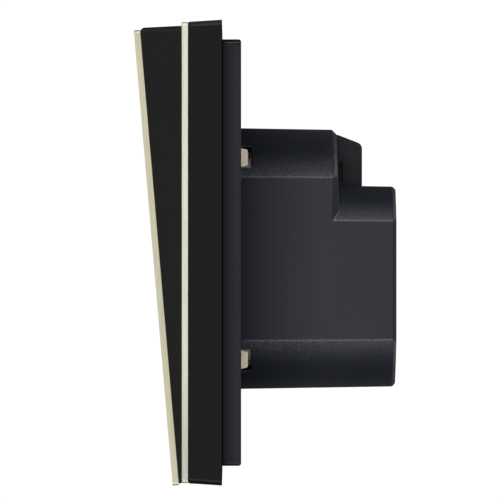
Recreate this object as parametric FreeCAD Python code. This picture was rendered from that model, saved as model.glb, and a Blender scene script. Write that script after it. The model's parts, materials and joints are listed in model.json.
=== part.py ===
import FreeCAD, Part
import math
import os

# Key card switch: a square wall switch whose slanted front takes a key card from above.
# X runs to the right as seen from the front, +Y runs into the wall and +Z points up.
# The origin lies on the wall plane, midway between the two box screws.
# Sizes are in millimetres and angles in degrees.

V = FreeCAD.Vector

# Support plate, whose rear face lies on the wall
plate_inset = 3.5
plate_depth = 3.53
plate_corner = 1.0
plate_edge = 0.5
plate_web = 1.6
box_screw_spacing = 60.3
box_slot_width = 4.0
box_slot_length = 6.5
box_head_width = 7.2
box_head_depth = 1.9
pocket_in_plate = 9.8
plate_rim = 3.2

# Cover frame, which snaps on to the support plate
cover_size = 86.0
cover_depth = 6.28
cover_draft = 3.5
cover_side_wall = 1.8
cover_front_wall = 1.6
cover_edge = 0.35
plan_corner = 1.2
metal_corner = 0.6
standoff_radius = 1.9
standoff_inset = 3.1

# Clip tongues of the cover frame
clip_thickness = 1.4
clip_width = 6.0
clip_height = 22.0
clip_inset = 2.1
clip_reach = 0.8
clip_nib = 0.6
clip_nib_length = 1.1
clip_gap = 0.2

# Trim plate
trim_inset = 0.07
trim_thickness = 1.2
trim_edge = 0.3

# Card pocket: the wedge that the fascia lies on
lean = 4.88
pocket_side_step = 0.15
pocket_top_step = 0.67
pocket_bottom_step = -0.07
pocket_toe = 0.5
pocket_top_fall = 0.4
pocket_top_corner = 0.85
pocket_wall = 1.8
peg_radius = 1.5
peg_head_radius = 2.3
peg_head = 0.8
peg_boss_radius = 2.8
peg_below_standoff = 5.9
peg_gap = 0.1

# Card slot, for a card 54 wide and 0.76 thick
card_width = 54.0
card_side_gap = 0.9
slot_floor = -12.02
slot_back_wall = 1.5
slot_lead_in = 0.9
rib_width = 1.6
rib_inset = 3.6
rib_card_gap = 1.3
rib_top_below_mouth = 8.0
rib_lead_height = 6.0

# Fascia plate
fascia_proud = 0.1
fascia_thickness = 1.2
fascia_below_mouth = 0.78
fascia_overhang = 0.28
fascia_edge = 0.3
fascia_rear_edge = 0.15

# Light guide and lamp
lamp_below_switch = 1.0
light_width = 10.0
light_height = 1.6
light_gap = 0.15
light_shoulder = 1.4
light_shoulder_depth = 0.8
light_lamp_gap = 0.6
lamp_radius = 1.5
lamp_lead_pitch = 2.0
lamp_collar_radius = 1.9
lamp_collar = 1.0
lamp_height = 5.3

# Rear housing: a circle cut by four flats, with a deep lower part
body_drop = 1.15
body_radius = 29.1
body_flat = 24.73
body_draft = 0.9
body_wall = 1.8
rim_depth = 2.0
rim_gap = 0.1
shallow_depth = 18.28
shallow_edge = 1.05
deep_depth = 29.25
deep_edge = 0.6
deep_step = 10.92
deep_crease_drop = 7.2
deep_top_half = 18.1
deep_corner_radius = 21.0

# Front chassis, which hooks into the housing through the support plate
chassis_wall = 1.4
flange_margin = 0.4
skirt_gap = 0.2
skirt_wall = 1.5
skirt_end_gap = 1.0
skirt_arm_width = 13.0
ledge_margin = 0.3
window_width = 5.46
window_front = -0.6
window_rear = 1.84
hook_angle = 41.4
hook_side_gap = 0.36
hook_front_gap = 0.1
hook_rear_gap = 0.4
hook_recess = 0.2
hook_flat = 1.75
hook_shoulder_drop = 1.2
hook_shoulder = 1.9
hook_straight = 0.6
hook_taper = 0.45
hook_tip_wall = 0.7
hook_slit = 0.9

# Circuit board and the posts that carry it
board_front = 3.6
board_thickness = 1.6
board_gap = 0.4
post_radius = 2.5
post_angles = (142.0, 0.0)
post_insets = (8.0, 10.5)
low_post_inset = 6.5
low_post_above_flat = 6.93
board_screw_radius = 1.0
board_screw_gap = 0.04
board_screw_length = 5.5
board_screw_head_radius = 1.9
board_screw_head = 1.3
board_screw_slot = 0.5
board_hole_gap = 0.15

# Card lever and its pin
lever_width = 8.0
lever_side_gap = 0.25
lever_travel = 13.75
lever_tip_gap = 0.3
lever_arm = 2.0
lever_hub_radius = 1.9
lever_hub_left = 4.0
lever_hub_right = 1.2
lever_window_gap = 0.6
lower_arm_thickness = 1.3
lower_arm_rear = 1.95
lower_arm_reach = 4.5
pivot_stand = 1.27
pin_radius = 0.8
pin_running_gap = 0.05
pin_fixed_gap = 0.02
ear_thickness = 1.8
ear_overhang = 1.55
ear_half_height = 2.3
ear_corner = 1.4
pin_overhang = 0.3

# Torsion spring on the lever's pin
spring_wire_radius = 0.2
spring_radius = 1.45
spring_turns = 3.25
spring_pitch = 0.5
spring_leg = 7.3
spring_leg_angle = 19.3
spring_end = 0.8
spring_end_bend = 0.45
spring_end_gap = 0.12

# Microswitch on the board, in front of which the lever swings
switch_width = 12.8
switch_height = 5.8
switch_depth = 6.5
switch_x = -1.6
switch_edge = 0.4
plunger_width = 2.2
plunger_height = 1.5
plunger_in = 2.0
plunger_dome = 0.8
plunger_gap = 0.08
plunger_reach = 2.94
plunger_touch_gap = 0.03
switch_pin_pitch = 5.08
switch_pin_width = 0.9
switch_pin_thickness = 0.5

# Components behind the board
stand_gap = 0.5
lead_radius = 0.35
lead_gap = 0.1
lead_out = 1.0
lead_stub = 0.3
relay_width = 19.0
relay_height = 15.4
relay_length = 15.2
relay_x = -10.5
relay_above_switch = 0.5
relay_edge = 0.7
relay_pin_radius = 0.7
relay_pin_inset = 2.2
relay_pin_row = 2.0
relay_pin_rise = 6.0
film_width = 13.0
film_height = 6.0
film_length = 12.0
film_x = 12.3
film_z = -6.5
film_pitch = 10.0
film_edge = 0.6
electrolytic_radius = 4.0
electrolytic_length = 12.0
electrolytic_x = 7.9
electrolytic_z = -14.9
electrolytic_pitch = 3.5
electrolytic_groove = 0.4
electrolytic_groove_height = 2.5
varistor_radius = 4.5
varistor_thickness = 4.4
varistor_x = 4.5
varistor_above_tab = 0.9
varistor_pitch = 5.0
fuse_radius = 4.0
fuse_length = 8.0
fuse_x = 12.5
fuse_z = 7.5
fuse_pitch = 5.08
resistor_radius = 1.25
resistor_length = 9.0
resistor_lead_bend = 1.6
resistor_x = 8.0
resistor_z = 0.1
resistor_pitch = 3.3
diode_radius = 1.35
diode_length = 5.2
diode_x = 16.3
diode_z = -13.1
diode_pitch = 3.1
chip_width = 9.4
chip_height = 6.4
chip_depth = 3.4
chip_stand = 0.5
chip_x = 2.5
chip_z = 6.5
chip_pitch = 2.54
chip_legs_in_row = 4
chip_notch_radius = 0.8
chip_notch_depth = 0.4
chip_leg_width = 0.5
chip_leg_thickness = 0.3

# Terminal block on the step of the housing, with heights above that step
block_side_wall = 2.5
block_depth = 4.72
block_height = 9.74
block_slant = 21.2
block_corner = 1.3
block_seat_gap = 0.05
neck_inset = 1.3
neck_foot = 0.25
neck_height = 7.75
neck_length = 3.3
neck_gap = 0.12
neck_nib = 0.5
neck_nib_length = 0.9
neck_nib_margin = 1.0
latch_front = 0.2
latch_length = 0.8
latch_foot = 4.8
latch_height = 1.8
latch_proud = 0.5
groove_foot = 0.4
groove_height = 4.0
groove_depth = 1.1

# Clamps, screws and tabs of the three terminals
terminal_count = 3
terminal_pitch = 8.6
cell_gap = 0.1
clamp_width = 6.0
clamp_height = 6.4
clamp_length = 4.2
clamp_side = 0.75
clamp_floor = 0.8
clamp_roof = 1.1
clamp_foot = 0.9
clamp_behind_mouth = 1.1
mouth_width = 4.7
mouth_height = 4.7
mouth_funnel = 0.6
clamp_screw_radius = 1.2
clamp_screw_inset = 1.44
clamp_screw_gap = 0.05
clamp_head_radius = 1.6
clamp_head = 0.9
clamp_head_gap = 0.1
driver_slot_width = 0.6
driver_slot_depth = 0.5
tab_width = 3.0
tab_thickness = 0.8
tab_gap = 0.1

# Planes along Y and places that follow from the sizes above
plate_front = -plate_depth
cover_front = plate_front - cover_depth
trim_front = cover_front - trim_thickness
pocket_rear = trim_front
slot_back = pocket_rear - slot_back_wall
chassis_front = plate_front - chassis_wall
board_rear = board_front + board_thickness
cover_inner_front = cover_front + cover_front_wall
cover_half = cover_size / 2
cover_front_half = cover_half - cover_depth * math.tan(math.radians(cover_draft))
plate_half = cover_half - plate_inset
trim_half = cover_front_half - trim_inset
pocket_half = trim_half - pocket_side_step
pocket_top = trim_half - pocket_top_step
pocket_bottom = pocket_bottom_step - trim_half
fascia_half = pocket_half + fascia_proud
fascia_top = pocket_top - fascia_below_mouth
fascia_bottom = pocket_bottom - fascia_overhang
slot_half = card_width / 2 + card_side_gap
standoff_place = plate_half - standoff_inset
peg_x = (slot_half + pocket_half) / 2
peg_z = standoff_place - peg_below_standoff
lean_rise = math.tan(math.radians(lean))
fascia_run = fascia_thickness / math.cos(math.radians(lean))
draft_rise = math.tan(math.radians(body_draft))
body_center = V(0, 0, -body_drop)
hook_radius = body_radius - hook_recess
hook_width = window_width - 2 * hook_side_gap
hook_front = window_front + hook_front_gap
hook_rear = window_rear - hook_rear_gap
deep_top = body_flat - body_drop - deep_step
deep_crease_z = deep_top - deep_crease_drop
block_front = shallow_depth
block_rear = block_front + block_depth
block_top = deep_top + block_height
block_half_width = (terminal_count - 1) / 2 * terminal_pitch + clamp_width / 2 + cell_gap + block_side_wall
neck_half_width = block_half_width - neck_inset
neck_bottom = deep_top + neck_foot
neck_top = neck_bottom + neck_height
latch_bottom = deep_top + latch_foot
groove_bottom = deep_top + groove_foot
clamp_bottom = deep_top + clamp_foot
varistor_z = clamp_bottom + tab_thickness + varistor_above_tab + varistor_thickness / 2
beyond = 60.0
overrun = 1.0


def seat_y(z):
    """Y of the slanted face that the fascia lies on, at height z."""
    return pocket_rear - pocket_toe - (z - pocket_bottom) * lean_rise


# The lever's pivot is placed so that its tip reaches the slot's floor at full travel
travel = math.radians(lever_travel)
pivot_y = chassis_front - pivot_stand
tip_y = seat_y(slot_floor) + lever_tip_gap
tip_length = pivot_y - tip_y
arm_half = lever_arm / 2
pivot_z = slot_floor + tip_length * math.sin(travel) - arm_half * math.cos(travel)
pivot = V(0, pivot_y, pivot_z)
arm_low = pivot_z - tip_length * math.sin(travel) - arm_half * math.cos(travel)
lever_window_top = pivot_z + arm_half + lever_window_gap
lever_window_bottom = arm_low - lever_window_gap
lever_window_half = lever_width / 2 + lever_window_gap
ear_inner = lever_width / 2 + lever_side_gap
plunger_z = pivot_z - plunger_reach
plunger_tip_y = pivot_y + lower_arm_rear + plunger_touch_gap
arm_swing = plunger_reach * math.tan(travel)
arm_tilt = (lower_arm_rear + plunger_dome) * (1 / math.cos(travel) - 1)
plunger_travel = arm_swing + arm_tilt
switch_front = board_front - switch_depth
switch_top = plunger_z + switch_height / 2
light_z = switch_top - switch_height - lamp_below_switch - lamp_collar_radius
relay_z = switch_top + relay_above_switch + relay_pin_radius + relay_pin_rise


def block(x0, x1, y0, y1, z0, z1):
    """A box between two corners."""
    return Part.makeBox(x1 - x0, y1 - y0, z1 - z0, V(x0, y0, z0))


def rod_along_y(radius, x, z, y0, y1):
    return Part.makeCylinder(radius, y1 - y0, V(x, y0, z), V(0, 1, 0))


def rod_along_x(radius, y, z, x0, x1):
    return Part.makeCylinder(radius, x1 - x0, V(x0, y, z), V(1, 0, 0))


def rod_along_z(radius, x, y, z0, z1):
    return Part.makeCylinder(radius, z1 - z0, V(x, y, z0), V(0, 0, 1))


def rounded_loop(corners, radii):
    """A closed wire through the corners, each rounded by its own radius."""
    count = len(corners)
    starts = []
    middles = []
    ends = []
    for i in range(count):
        corner = corners[i]
        to_last = (corners[i - 1] - corner).normalize()
        to_next = (corners[(i + 1) % count] - corner).normalize()
        half = to_last.getAngle(to_next) / 2
        run = radii[i] / math.tan(half)
        inward = (to_last + to_next).normalize()
        starts.append(corner + to_last * run)
        ends.append(corner + to_next * run)
        middles.append(corner + inward * (radii[i] / math.sin(half) - radii[i]))
    edges = []
    for i in range(count):
        if radii[i] > 0:
            edges.append(Part.Arc(starts[i], middles[i], ends[i]).toShape())
        edges.append(Part.LineSegment(ends[i], starts[(i + 1) % count]).toShape())
    return Part.Wire(edges)


def side_prism(points, x0, x1, radii=None):
    """A solid with an outline of (y, z) points, seen from the side, between two X planes."""
    corners = [V(x0, y, z) for y, z in points]
    wire = rounded_loop(corners, radii or [0] * len(points))
    return Part.Face(wire).extrude(V(x1 - x0, 0, 0))


def top_prism(points, z0, z1):
    """A solid with an outline of (x, y) points, seen from above, between two Z planes."""
    corners = [V(x, y, z0) for x, y in points]
    return Part.Face(rounded_loop(corners, [0] * len(points))).extrude(V(0, 0, z1 - z0))


def rounded_rectangle(half_x, half_z, radius, y):
    """A rectangle seen from the front, with rounded corners, centred on the Y axis."""
    corners = [V(-half_x, y, -half_z), V(half_x, y, -half_z), V(half_x, y, half_z), V(-half_x, y, half_z)]
    return rounded_loop(corners, [radius] * 4)


def slab(half_x, half_z, radius, y0, y1):
    """A plate seen from the front, with rounded corners, between two Y planes."""
    return Part.Face(rounded_rectangle(half_x, half_z, radius, y0)).extrude(V(0, y1 - y0, 0))


def slot_bar(length, width, x, z, y0, y1):
    """A bar along Y with full-round ends, lying along X."""
    straight = (length - width) / 2
    ends = [rod_along_y(width / 2, x + side * straight, z, y0, y1) for side in (-1, 1)]
    middle = block(x - straight, x + straight, y0, y1, z - width / 2, z + width / 2)
    return middle.fuse(ends).removeSplitter()


def edges_in_plane(shape, y):
    """The edges that lie wholly in the plane at this Y."""
    flat = []
    for edge in shape.Edges:
        box = edge.BoundBox
        if abs(box.YMin - y) < 1e-4 and abs(box.YMax - y) < 1e-4:
            flat.append(edge)
    return flat


def both_sides(shape):
    """A shape and its mirror image across the middle."""
    return [shape, shape.mirror(V(0, 0, 0), V(1, 0, 0))]


def arc_middle(center, radius, start, end):
    """The point of an arc halfway between its ends."""
    return center + ((start + end) * 0.5 - center).normalize() * radius


def flipped(point):
    return V(-point.x, point.y, point.z)


def shallow_outline(inset, y):
    """The circle cut by four flats, inset from its size, in the plane at this Y."""
    radius = body_radius - inset
    flat = body_flat - inset
    half = math.sqrt(radius ** 2 - flat ** 2)
    center = V(0, y, -body_drop)
    low = center + V(half, 0, -flat)
    side_low = center + V(flat, 0, -half)
    side_high = center + V(flat, 0, half)
    high = center + V(half, 0, flat)
    bend_low = arc_middle(center, radius, low, side_low)
    bend_high = arc_middle(center, radius, side_high, high)
    return Part.Wire([
        Part.LineSegment(flipped(low), low).toShape(),
        Part.Arc(low, bend_low, side_low).toShape(),
        Part.LineSegment(side_low, side_high).toShape(),
        Part.Arc(side_high, bend_high, high).toShape(),
        Part.LineSegment(high, flipped(high)).toShape(),
        Part.Arc(flipped(high), flipped(bend_high), flipped(side_high)).toShape(),
        Part.LineSegment(flipped(side_high), flipped(side_low)).toShape(),
        Part.Arc(flipped(side_low), flipped(bend_low), flipped(low)).toShape(),
    ])


def deep_corner_center():
    """Centre of the arc that rounds the deep part's upper corner, from its two ends."""
    start = V(body_flat, 0, deep_crease_z)
    end = V(deep_top_half, 0, deep_top)
    chord = end - start
    inward = V(-chord.z, 0, chord.x).normalize()
    depth = math.sqrt(deep_corner_radius ** 2 - (chord.Length / 2) ** 2)
    return (start + end) * 0.5 + inward * depth


def roof_outline(inset, y):
    """The deep part's top and its corner arcs as they are at the step, carried down past the rest."""
    center = deep_corner_center()
    center.y = y
    radius = deep_corner_radius - inset
    top_z = deep_top - inset
    reach = math.sqrt(radius ** 2 - (top_z - center.z) ** 2)
    high = V(center.x + reach, y, top_z)
    side = center + V(radius, 0, 0)
    foot = V(side.x, y, -beyond)
    bend = arc_middle(center, radius, side, high)
    return Part.Wire([
        Part.LineSegment(flipped(foot), foot).toShape(),
        Part.LineSegment(foot, side).toShape(),
        Part.Arc(side, bend, high).toShape(),
        Part.LineSegment(high, flipped(high)).toShape(),
        Part.Arc(flipped(high), flipped(bend), flipped(side)).toShape(),
        Part.LineSegment(flipped(side), flipped(foot)).toShape(),
    ])


def drafted(outline, inset, y0, y1, edge=0.0):
    """A solid along Y that narrows with the mould draft, with a chamfer at its rear edge."""
    y_edge = y1 - edge
    wires = [outline(inset + y0 * draft_rise, y0), outline(inset + y_edge * draft_rise, y_edge)]
    if edge > 0:
        wires.append(outline(inset + edge + y1 * draft_rise, y1))
    return Part.makeLoft(wires, True, True)


def disc(margin, y0, y1):
    """A straight slice of the shallow outline, larger than the housing by a margin."""
    return Part.Face(shallow_outline(-margin, y0)).extrude(V(0, y1 - y0, 0))


def at_hook(shape, angle):
    """Turns a shape from the +X side round the housing's axis to a hook."""
    turned = shape.copy()
    turned.rotate(body_center, V(0, 1, 0), -angle)
    return turned


def hook_angles():
    return (hook_angle, 180 - hook_angle, 180 + hook_angle, -hook_angle)


def peg_places():
    return [(x, z) for x in (-peg_x, peg_x) for z in (-peg_z, peg_z)]


def post_places():
    """The posts of the board, set by their distance inside the housing's circle and its lower flat."""
    places = []
    for angle, inset in zip(post_angles, post_insets):
        turn = math.radians(angle)
        reach = body_radius - inset
        places.append((reach * math.cos(turn), reach * math.sin(turn) - body_drop))
    low = body_flat - low_post_above_flat
    aside = math.sqrt((body_radius - low_post_inset) ** 2 - low ** 2)
    places.append((-aside, -low - body_drop))
    return places


def diode_places():
    return [(diode_x + i * diode_pitch, diode_z + k * diode_pitch)
            for i in (-0.5, 0.5) for k in (-0.5, 0.5)]


def resistor_zs():
    return [resistor_z - resistor_pitch / 2, resistor_z + resistor_pitch / 2]


def clip_places():
    """Side and height of each clip tongue."""
    return [(side, z) for side in (-1, 1) for z in (-clip_height, clip_height)]


def terminal_xs():
    middle = (terminal_count - 1) / 2
    return [(i - middle) * terminal_pitch for i in range(terminal_count)]


def lever_window(y0, y1):
    """The hole that the lever's arm swings in."""
    return block(-lever_window_half, lever_window_half, y0, y1, lever_window_bottom, lever_window_top)


def light_hole(y0, y1):
    gap = 2 * light_gap
    return slot_bar(light_width + gap, light_height + gap, 0, light_z, y0, y1)


def ahead_of_seat(distance):
    """Everything in front of a plane that lies a distance before the fascia's seat."""
    low = pocket_bottom - beyond
    high = pocket_top + beyond
    points = [
        (seat_y(low) - distance, low),
        (seat_y(high) - distance, high),
        (seat_y(high) - distance - beyond, high),
        (seat_y(low) - distance - beyond, low),
    ]
    return side_prism(points, -beyond, beyond)


def make_fascia_plate():
    height = (fascia_top - fascia_bottom) / math.cos(math.radians(lean))
    plate = slab(fascia_half, height / 2, metal_corner, -fascia_thickness, 0)
    plate = plate.makeFillet(fascia_edge, edges_in_plane(plate, -fascia_thickness))
    plate = plate.makeFillet(fascia_rear_edge, edges_in_plane(plate, 0))
    plate.rotate(V(0, 0, 0), V(1, 0, 0), lean)
    middle_z = (fascia_top + fascia_bottom) / 2
    plate.translate(V(0, seat_y(middle_z), middle_z))
    return plate.cut(light_hole(seat_y(pocket_top) - beyond, pocket_rear))


def pocket_wedge():
    """The card pocket's outer shape."""
    front_top = pocket_top - pocket_top_fall
    points = [
        (pocket_rear, pocket_bottom),
        (pocket_rear, pocket_top),
        (seat_y(front_top), front_top),
        (seat_y(pocket_bottom), pocket_bottom),
    ]
    wedge = side_prism(points, -pocket_half, pocket_half, [0, 0, pocket_top_corner, 0])
    front = seat_y(pocket_top) - overrun
    corners = slab(pocket_half, (pocket_top - pocket_bottom) / 2, plan_corner, front, pocket_rear)
    corners.translate(V(0, 0, (pocket_top + pocket_bottom) / 2))
    return wedge.common(corners)


def pocket_core():
    """The hollow in one cheek of the pocket, open to the rear, with bosses for its pegs."""
    x0 = slot_half + pocket_wall
    x1 = pocket_half - pocket_wall
    high = pocket_top - pocket_wall
    low = pocket_bottom + pocket_wall / lean_rise
    points = [
        (pocket_rear, low),
        (pocket_rear, high),
        (seat_y(high) + pocket_wall, high),
        (seat_y(low) + pocket_wall, low),
    ]
    core = side_prism(points, x0, x1)
    bosses = [rod_along_y(peg_boss_radius, peg_x, z, seat_y(pocket_top), pocket_rear)
              for z in (-peg_z, peg_z)]
    return core.cut(bosses)


def card_slot():
    """The space that takes the card, open to the top and closed in front by the fascia."""
    mouth = pocket_top + overrun
    front = seat_y(mouth) - overrun
    space = block(-slot_half, slot_half, front, slot_back, slot_floor, mouth)
    widening = slot_lead_in + overrun
    lead_z = pocket_top - slot_lead_in
    back_lead = [(slot_back, lead_z), (slot_back + widening, mouth), (slot_back, mouth)]
    side_lead = [(slot_half, lead_z), (slot_half + widening, mouth), (slot_half, mouth)]
    leads = [side_prism(back_lead, -slot_half, slot_half)]
    corners = [V(x, front, z) for x, z in side_lead]
    wedge = Part.Face(rounded_loop(corners, [0, 0, 0])).extrude(V(0, slot_back - front, 0))
    return space.fuse(leads + both_sides(wedge))


def card_rib():
    """A rib on the slot's back that keeps the card close to the fascia."""
    high = pocket_top - rib_top_below_mouth
    points = [
        (slot_back, slot_floor),
        (slot_back, high),
        (seat_y(high - rib_lead_height) + rib_card_gap, high - rib_lead_height),
        (seat_y(slot_floor) + rib_card_gap, slot_floor),
    ]
    x1 = slot_half - rib_inset
    return side_prism(points, x1 - rib_width, x1)


def make_card_pocket():
    body = pocket_wedge().cut([card_slot()] + both_sides(pocket_core()))
    body = body.fuse(both_sides(card_rib()))
    shoulder = 2 * (light_shoulder + light_gap)
    recess = slot_bar(light_width + shoulder, light_height + shoulder, 0, light_z,
                      pocket_rear - light_shoulder_depth, pocket_rear)
    front = seat_y(pocket_top)
    body = body.cut([lever_window(front, pocket_rear), light_hole(front, pocket_rear), recess])
    pegs = []
    for x, z in peg_places():
        pegs.append(rod_along_y(peg_radius, x, z, pocket_rear, cover_inner_front + peg_head))
        pegs.append(rod_along_y(peg_head_radius, x, z, cover_inner_front, cover_inner_front + peg_head))
    return body.fuse(pegs).removeSplitter()


def peg_holes(y0, y1):
    return [rod_along_y(peg_radius + peg_gap, x, z, y0, y1) for x, z in peg_places()]


def make_trim_plate():
    plate = slab(trim_half, trim_half, metal_corner, trim_front, cover_front)
    plate = plate.makeFillet(trim_edge, edges_in_plane(plate, trim_front))
    holes = peg_holes(trim_front, cover_front)
    return plate.cut(holes + [lever_window(trim_front, cover_front), light_hole(trim_front, cover_front)])


def clip_tongue(side, z):
    """A tongue that reaches through the support plate, with a nib that catches behind its ledge."""
    outer = plate_half - clip_inset
    inner = outer - clip_thickness
    tip = -clip_reach
    catch = tip - clip_nib_length
    profile = [
        (side * inner, cover_inner_front),
        (side * inner, tip),
        (side * outer, tip),
        (side * (outer + clip_nib), catch),
        (side * outer, catch),
        (side * outer, cover_inner_front),
    ]
    return top_prism(profile, z - clip_width / 2, z + clip_width / 2)


def make_cover_frame():
    front = rounded_rectangle(cover_front_half, cover_front_half, plan_corner, cover_front)
    rear = rounded_rectangle(cover_half, cover_half, plan_corner, plate_front)
    outside = Part.makeLoft([front, rear], True, True)
    outside = outside.makeFillet(cover_edge, edges_in_plane(outside, cover_front))
    hollow_front_half = cover_front_half - cover_side_wall
    hollow_half = cover_half - cover_side_wall
    front = rounded_rectangle(hollow_front_half, hollow_front_half, plan_corner, cover_inner_front)
    rear = rounded_rectangle(hollow_half, hollow_half, plan_corner, plate_front)
    shell = outside.cut(Part.makeLoft([front, rear], True, True))
    standoffs = [rod_along_y(standoff_radius, x, z, cover_inner_front, plate_front)
                 for x in (-standoff_place, standoff_place) for z in (-standoff_place, standoff_place)]
    tongues = [clip_tongue(side, z) for side, z in clip_places()]
    shell = shell.fuse(standoffs + tongues)
    holes = peg_holes(cover_front, cover_inner_front)
    window = lever_window(cover_front, cover_inner_front)
    return shell.cut(holes + [window, light_hole(cover_front, cover_inner_front)])


def light_rear():
    """Rear end of the light guide, a gap before the lamp."""
    return board_front - lamp_height - light_lamp_gap


def make_light_guide():
    bar = slot_bar(light_width, light_height, 0, light_z, seat_y(pocket_top), light_rear())
    wide = 2 * light_shoulder
    shoulder = slot_bar(light_width + wide, light_height + wide, 0, light_z,
                        pocket_rear - light_shoulder_depth, pocket_rear)
    return bar.fuse(shoulder).cut(ahead_of_seat(fascia_run)).removeSplitter()


def clip_slot(side, z):
    """The hole in the support plate for a clip tongue, narrower in front than behind its ledge."""
    outer = plate_half - clip_inset
    inner = outer - clip_thickness - clip_nib - clip_gap
    ledge = -clip_reach - clip_nib_length - clip_gap / 2
    half = clip_width / 2 + clip_gap
    xs = sorted((side * inner, side * (outer + clip_gap)))
    wide = sorted((side * inner, side * (outer + clip_nib + clip_gap)))
    narrow = block(xs[0], xs[1], plate_front, ledge, z - half, z + half)
    return narrow.fuse(block(wide[0], wide[1], ledge, 0, z - half, z + half))


def make_support_plate():
    plate = slab(plate_half, plate_half, plate_corner, plate_front, 0)
    plate = plate.makeFillet(plate_edge, edges_in_plane(plate, 0))
    opening = disc(ledge_margin - body_wall, plate_front, 0)
    rim_seat = disc(rim_gap, -rim_depth, 0)
    cuts = [opening, rim_seat]
    for side in (-1, 1):
        x = side * box_screw_spacing / 2
        head_length = box_slot_length - box_slot_width + box_head_width
        cuts.append(slot_bar(box_slot_length, box_slot_width, x, 0, plate_front, 0))
        cuts.append(slot_bar(head_length, box_head_width, x, 0, plate_front, plate_front + box_head_depth))
    for side, z in clip_places():
        cuts.append(clip_slot(side, z))
    outer = plate_half - plate_rim - standoff_radius
    inner = outer - pocket_in_plate
    for x0, x1 in ((-outer, -inner), (inner, outer)):
        for z0, z1 in ((-outer, -inner), (inner, outer)):
            cuts.append(block(x0, x1, plate_front, -plate_web, z0, z1))
    return plate.cut(cuts)


def hook_nib():
    """A snap hook on the +X side: steep in front, narrower and sloping behind to lead it in."""
    root = body_radius - body_wall - skirt_gap - skirt_wall / 2
    points = [
        (root, hook_front),
        (hook_radius, hook_front),
        (hook_radius, hook_front + hook_flat),
        (hook_radius - hook_shoulder_drop, hook_front + hook_shoulder),
        (root + skirt_wall / 2, hook_rear),
        (root, hook_rear),
    ]
    half = hook_width / 2
    narrow = half - hook_taper
    taper_start = hook_front + hook_straight
    outline = [
        (hook_front, -half),
        (taper_start, -half),
        (hook_rear, -narrow),
        (hook_rear, narrow),
        (taper_start, half),
        (hook_front, half),
    ]
    nib = top_prism(points, -half, half).common(side_prism(outline, root, hook_radius))
    nib.translate(body_center)
    return nib


def hook_slits():
    """The cuts that free one arm of the skirt and thin it behind its hook, on the +X side."""
    outer = body_radius - body_wall
    inner = outer - skirt_gap - skirt_wall - overrun
    front = plate_front + chassis_wall / 2
    half = hook_width / 2
    sides = [block(inner, outer, front, board_front, z, z + hook_slit) for z in (half, -half - hook_slit)]
    end = block(inner, outer, board_front - skirt_end_gap, board_front, -half, half)
    tip_outer = outer - skirt_gap - skirt_wall + hook_tip_wall
    thinning = block(tip_outer, outer, hook_rear, board_front, -half, half)
    cuts = sides[0].fuse([sides[1], end, thinning])
    cuts.translate(body_center)
    return cuts


def pivot_ear(side):
    """The bearing ear of the lever's pin, standing on the chassis's front."""
    front = pivot_y - ear_overhang
    points = [
        (chassis_front, pivot_z - ear_half_height),
        (chassis_front, pivot_z + ear_half_height),
        (front, pivot_z + ear_half_height),
        (front, pivot_z - ear_half_height),
    ]
    xs = sorted((side * ear_inner, side * (ear_inner + ear_thickness)))
    return side_prism(points, xs[0], xs[1], [0, 0, ear_corner, ear_corner])


def make_front_chassis():
    wall = disc(flange_margin, chassis_front, plate_front)
    skirt_margin = -body_wall - skirt_gap
    ring = disc(skirt_margin, plate_front, board_front).cut(
        disc(skirt_margin - skirt_wall, plate_front, board_front))
    arm = block(0, beyond, plate_front, board_front, -skirt_arm_width / 2, skirt_arm_width / 2)
    arm.translate(body_center)
    skirt = [ring.common(at_hook(arm, angle)) for angle in hook_angles()]
    body = wall.fuse(skirt)
    body = body.cut([at_hook(hook_slits(), angle) for angle in hook_angles()])
    extras = [at_hook(hook_nib(), angle) for angle in hook_angles()]
    extras += [rod_along_y(post_radius, x, z, plate_front, board_front) for x, z in post_places()]
    extras += [pivot_ear(side) for side in (-1, 1)]
    body = body.fuse(extras)
    hole = board_screw_radius + board_screw_gap
    reach = board_rear - board_screw_length
    cuts = [rod_along_y(hole, x, z, reach, board_front) for x, z in post_places()]
    window_low = pivot_z - lower_arm_reach - lever_window_gap
    window_high = pivot_z + lever_hub_radius + lever_window_gap
    cuts.append(block(-ear_inner, ear_inner, chassis_front, plate_front, window_low, window_high))
    cuts.append(light_hole(chassis_front, plate_front))
    ear_end = ear_inner + ear_thickness
    cuts.append(rod_along_x(pin_radius + pin_fixed_gap, pivot_y, pivot_z, -ear_end, ear_end))
    return body.cut(cuts)


def make_card_lever():
    """A bell crank: one arm reaches into the card slot, the other presses the microswitch."""
    hub = rod_along_x(lever_hub_radius, pivot_y, pivot_z, -lever_hub_left, lever_hub_right)
    arm_start = pivot_y - lever_hub_radius - spring_wire_radius
    arm_top = pivot_z + arm_half
    arm_bottom = pivot_z - arm_half
    fore = block(-lever_width / 2, lever_width / 2, tip_y, arm_start, arm_bottom, arm_top)
    link = block(-lever_hub_left, lever_hub_right, arm_start, pivot_y, arm_bottom, arm_top)
    rear = pivot_y + lower_arm_rear
    low = block(-lever_hub_left, lever_hub_right, rear - lower_arm_thickness, rear,
                pivot_z - lower_arm_reach, pivot_z)
    lever = hub.fuse([fore, link, low]).removeSplitter()
    bore = rod_along_x(pin_radius + pin_running_gap, pivot_y, pivot_z, -lever_width, lever_width)
    end = spring_end_place()
    hole = rod_along_x(spring_wire_radius + spring_end_gap, end.y, end.z,
                       end.x - spring_end_gap, lever_hub_right)
    return lever.cut([bore, hole])


def make_lever_pin():
    half = ear_inner + ear_thickness + pin_overhang
    return rod_along_x(pin_radius, pivot_y, pivot_z, -half, half)


def spring_point(angle, x):
    """A point of the coil, by its angle from +Y towards +Z about the pin."""
    turn = math.radians(angle)
    return V(x, pivot_y + spring_radius * math.cos(turn), pivot_z + spring_radius * math.sin(turn))


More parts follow.
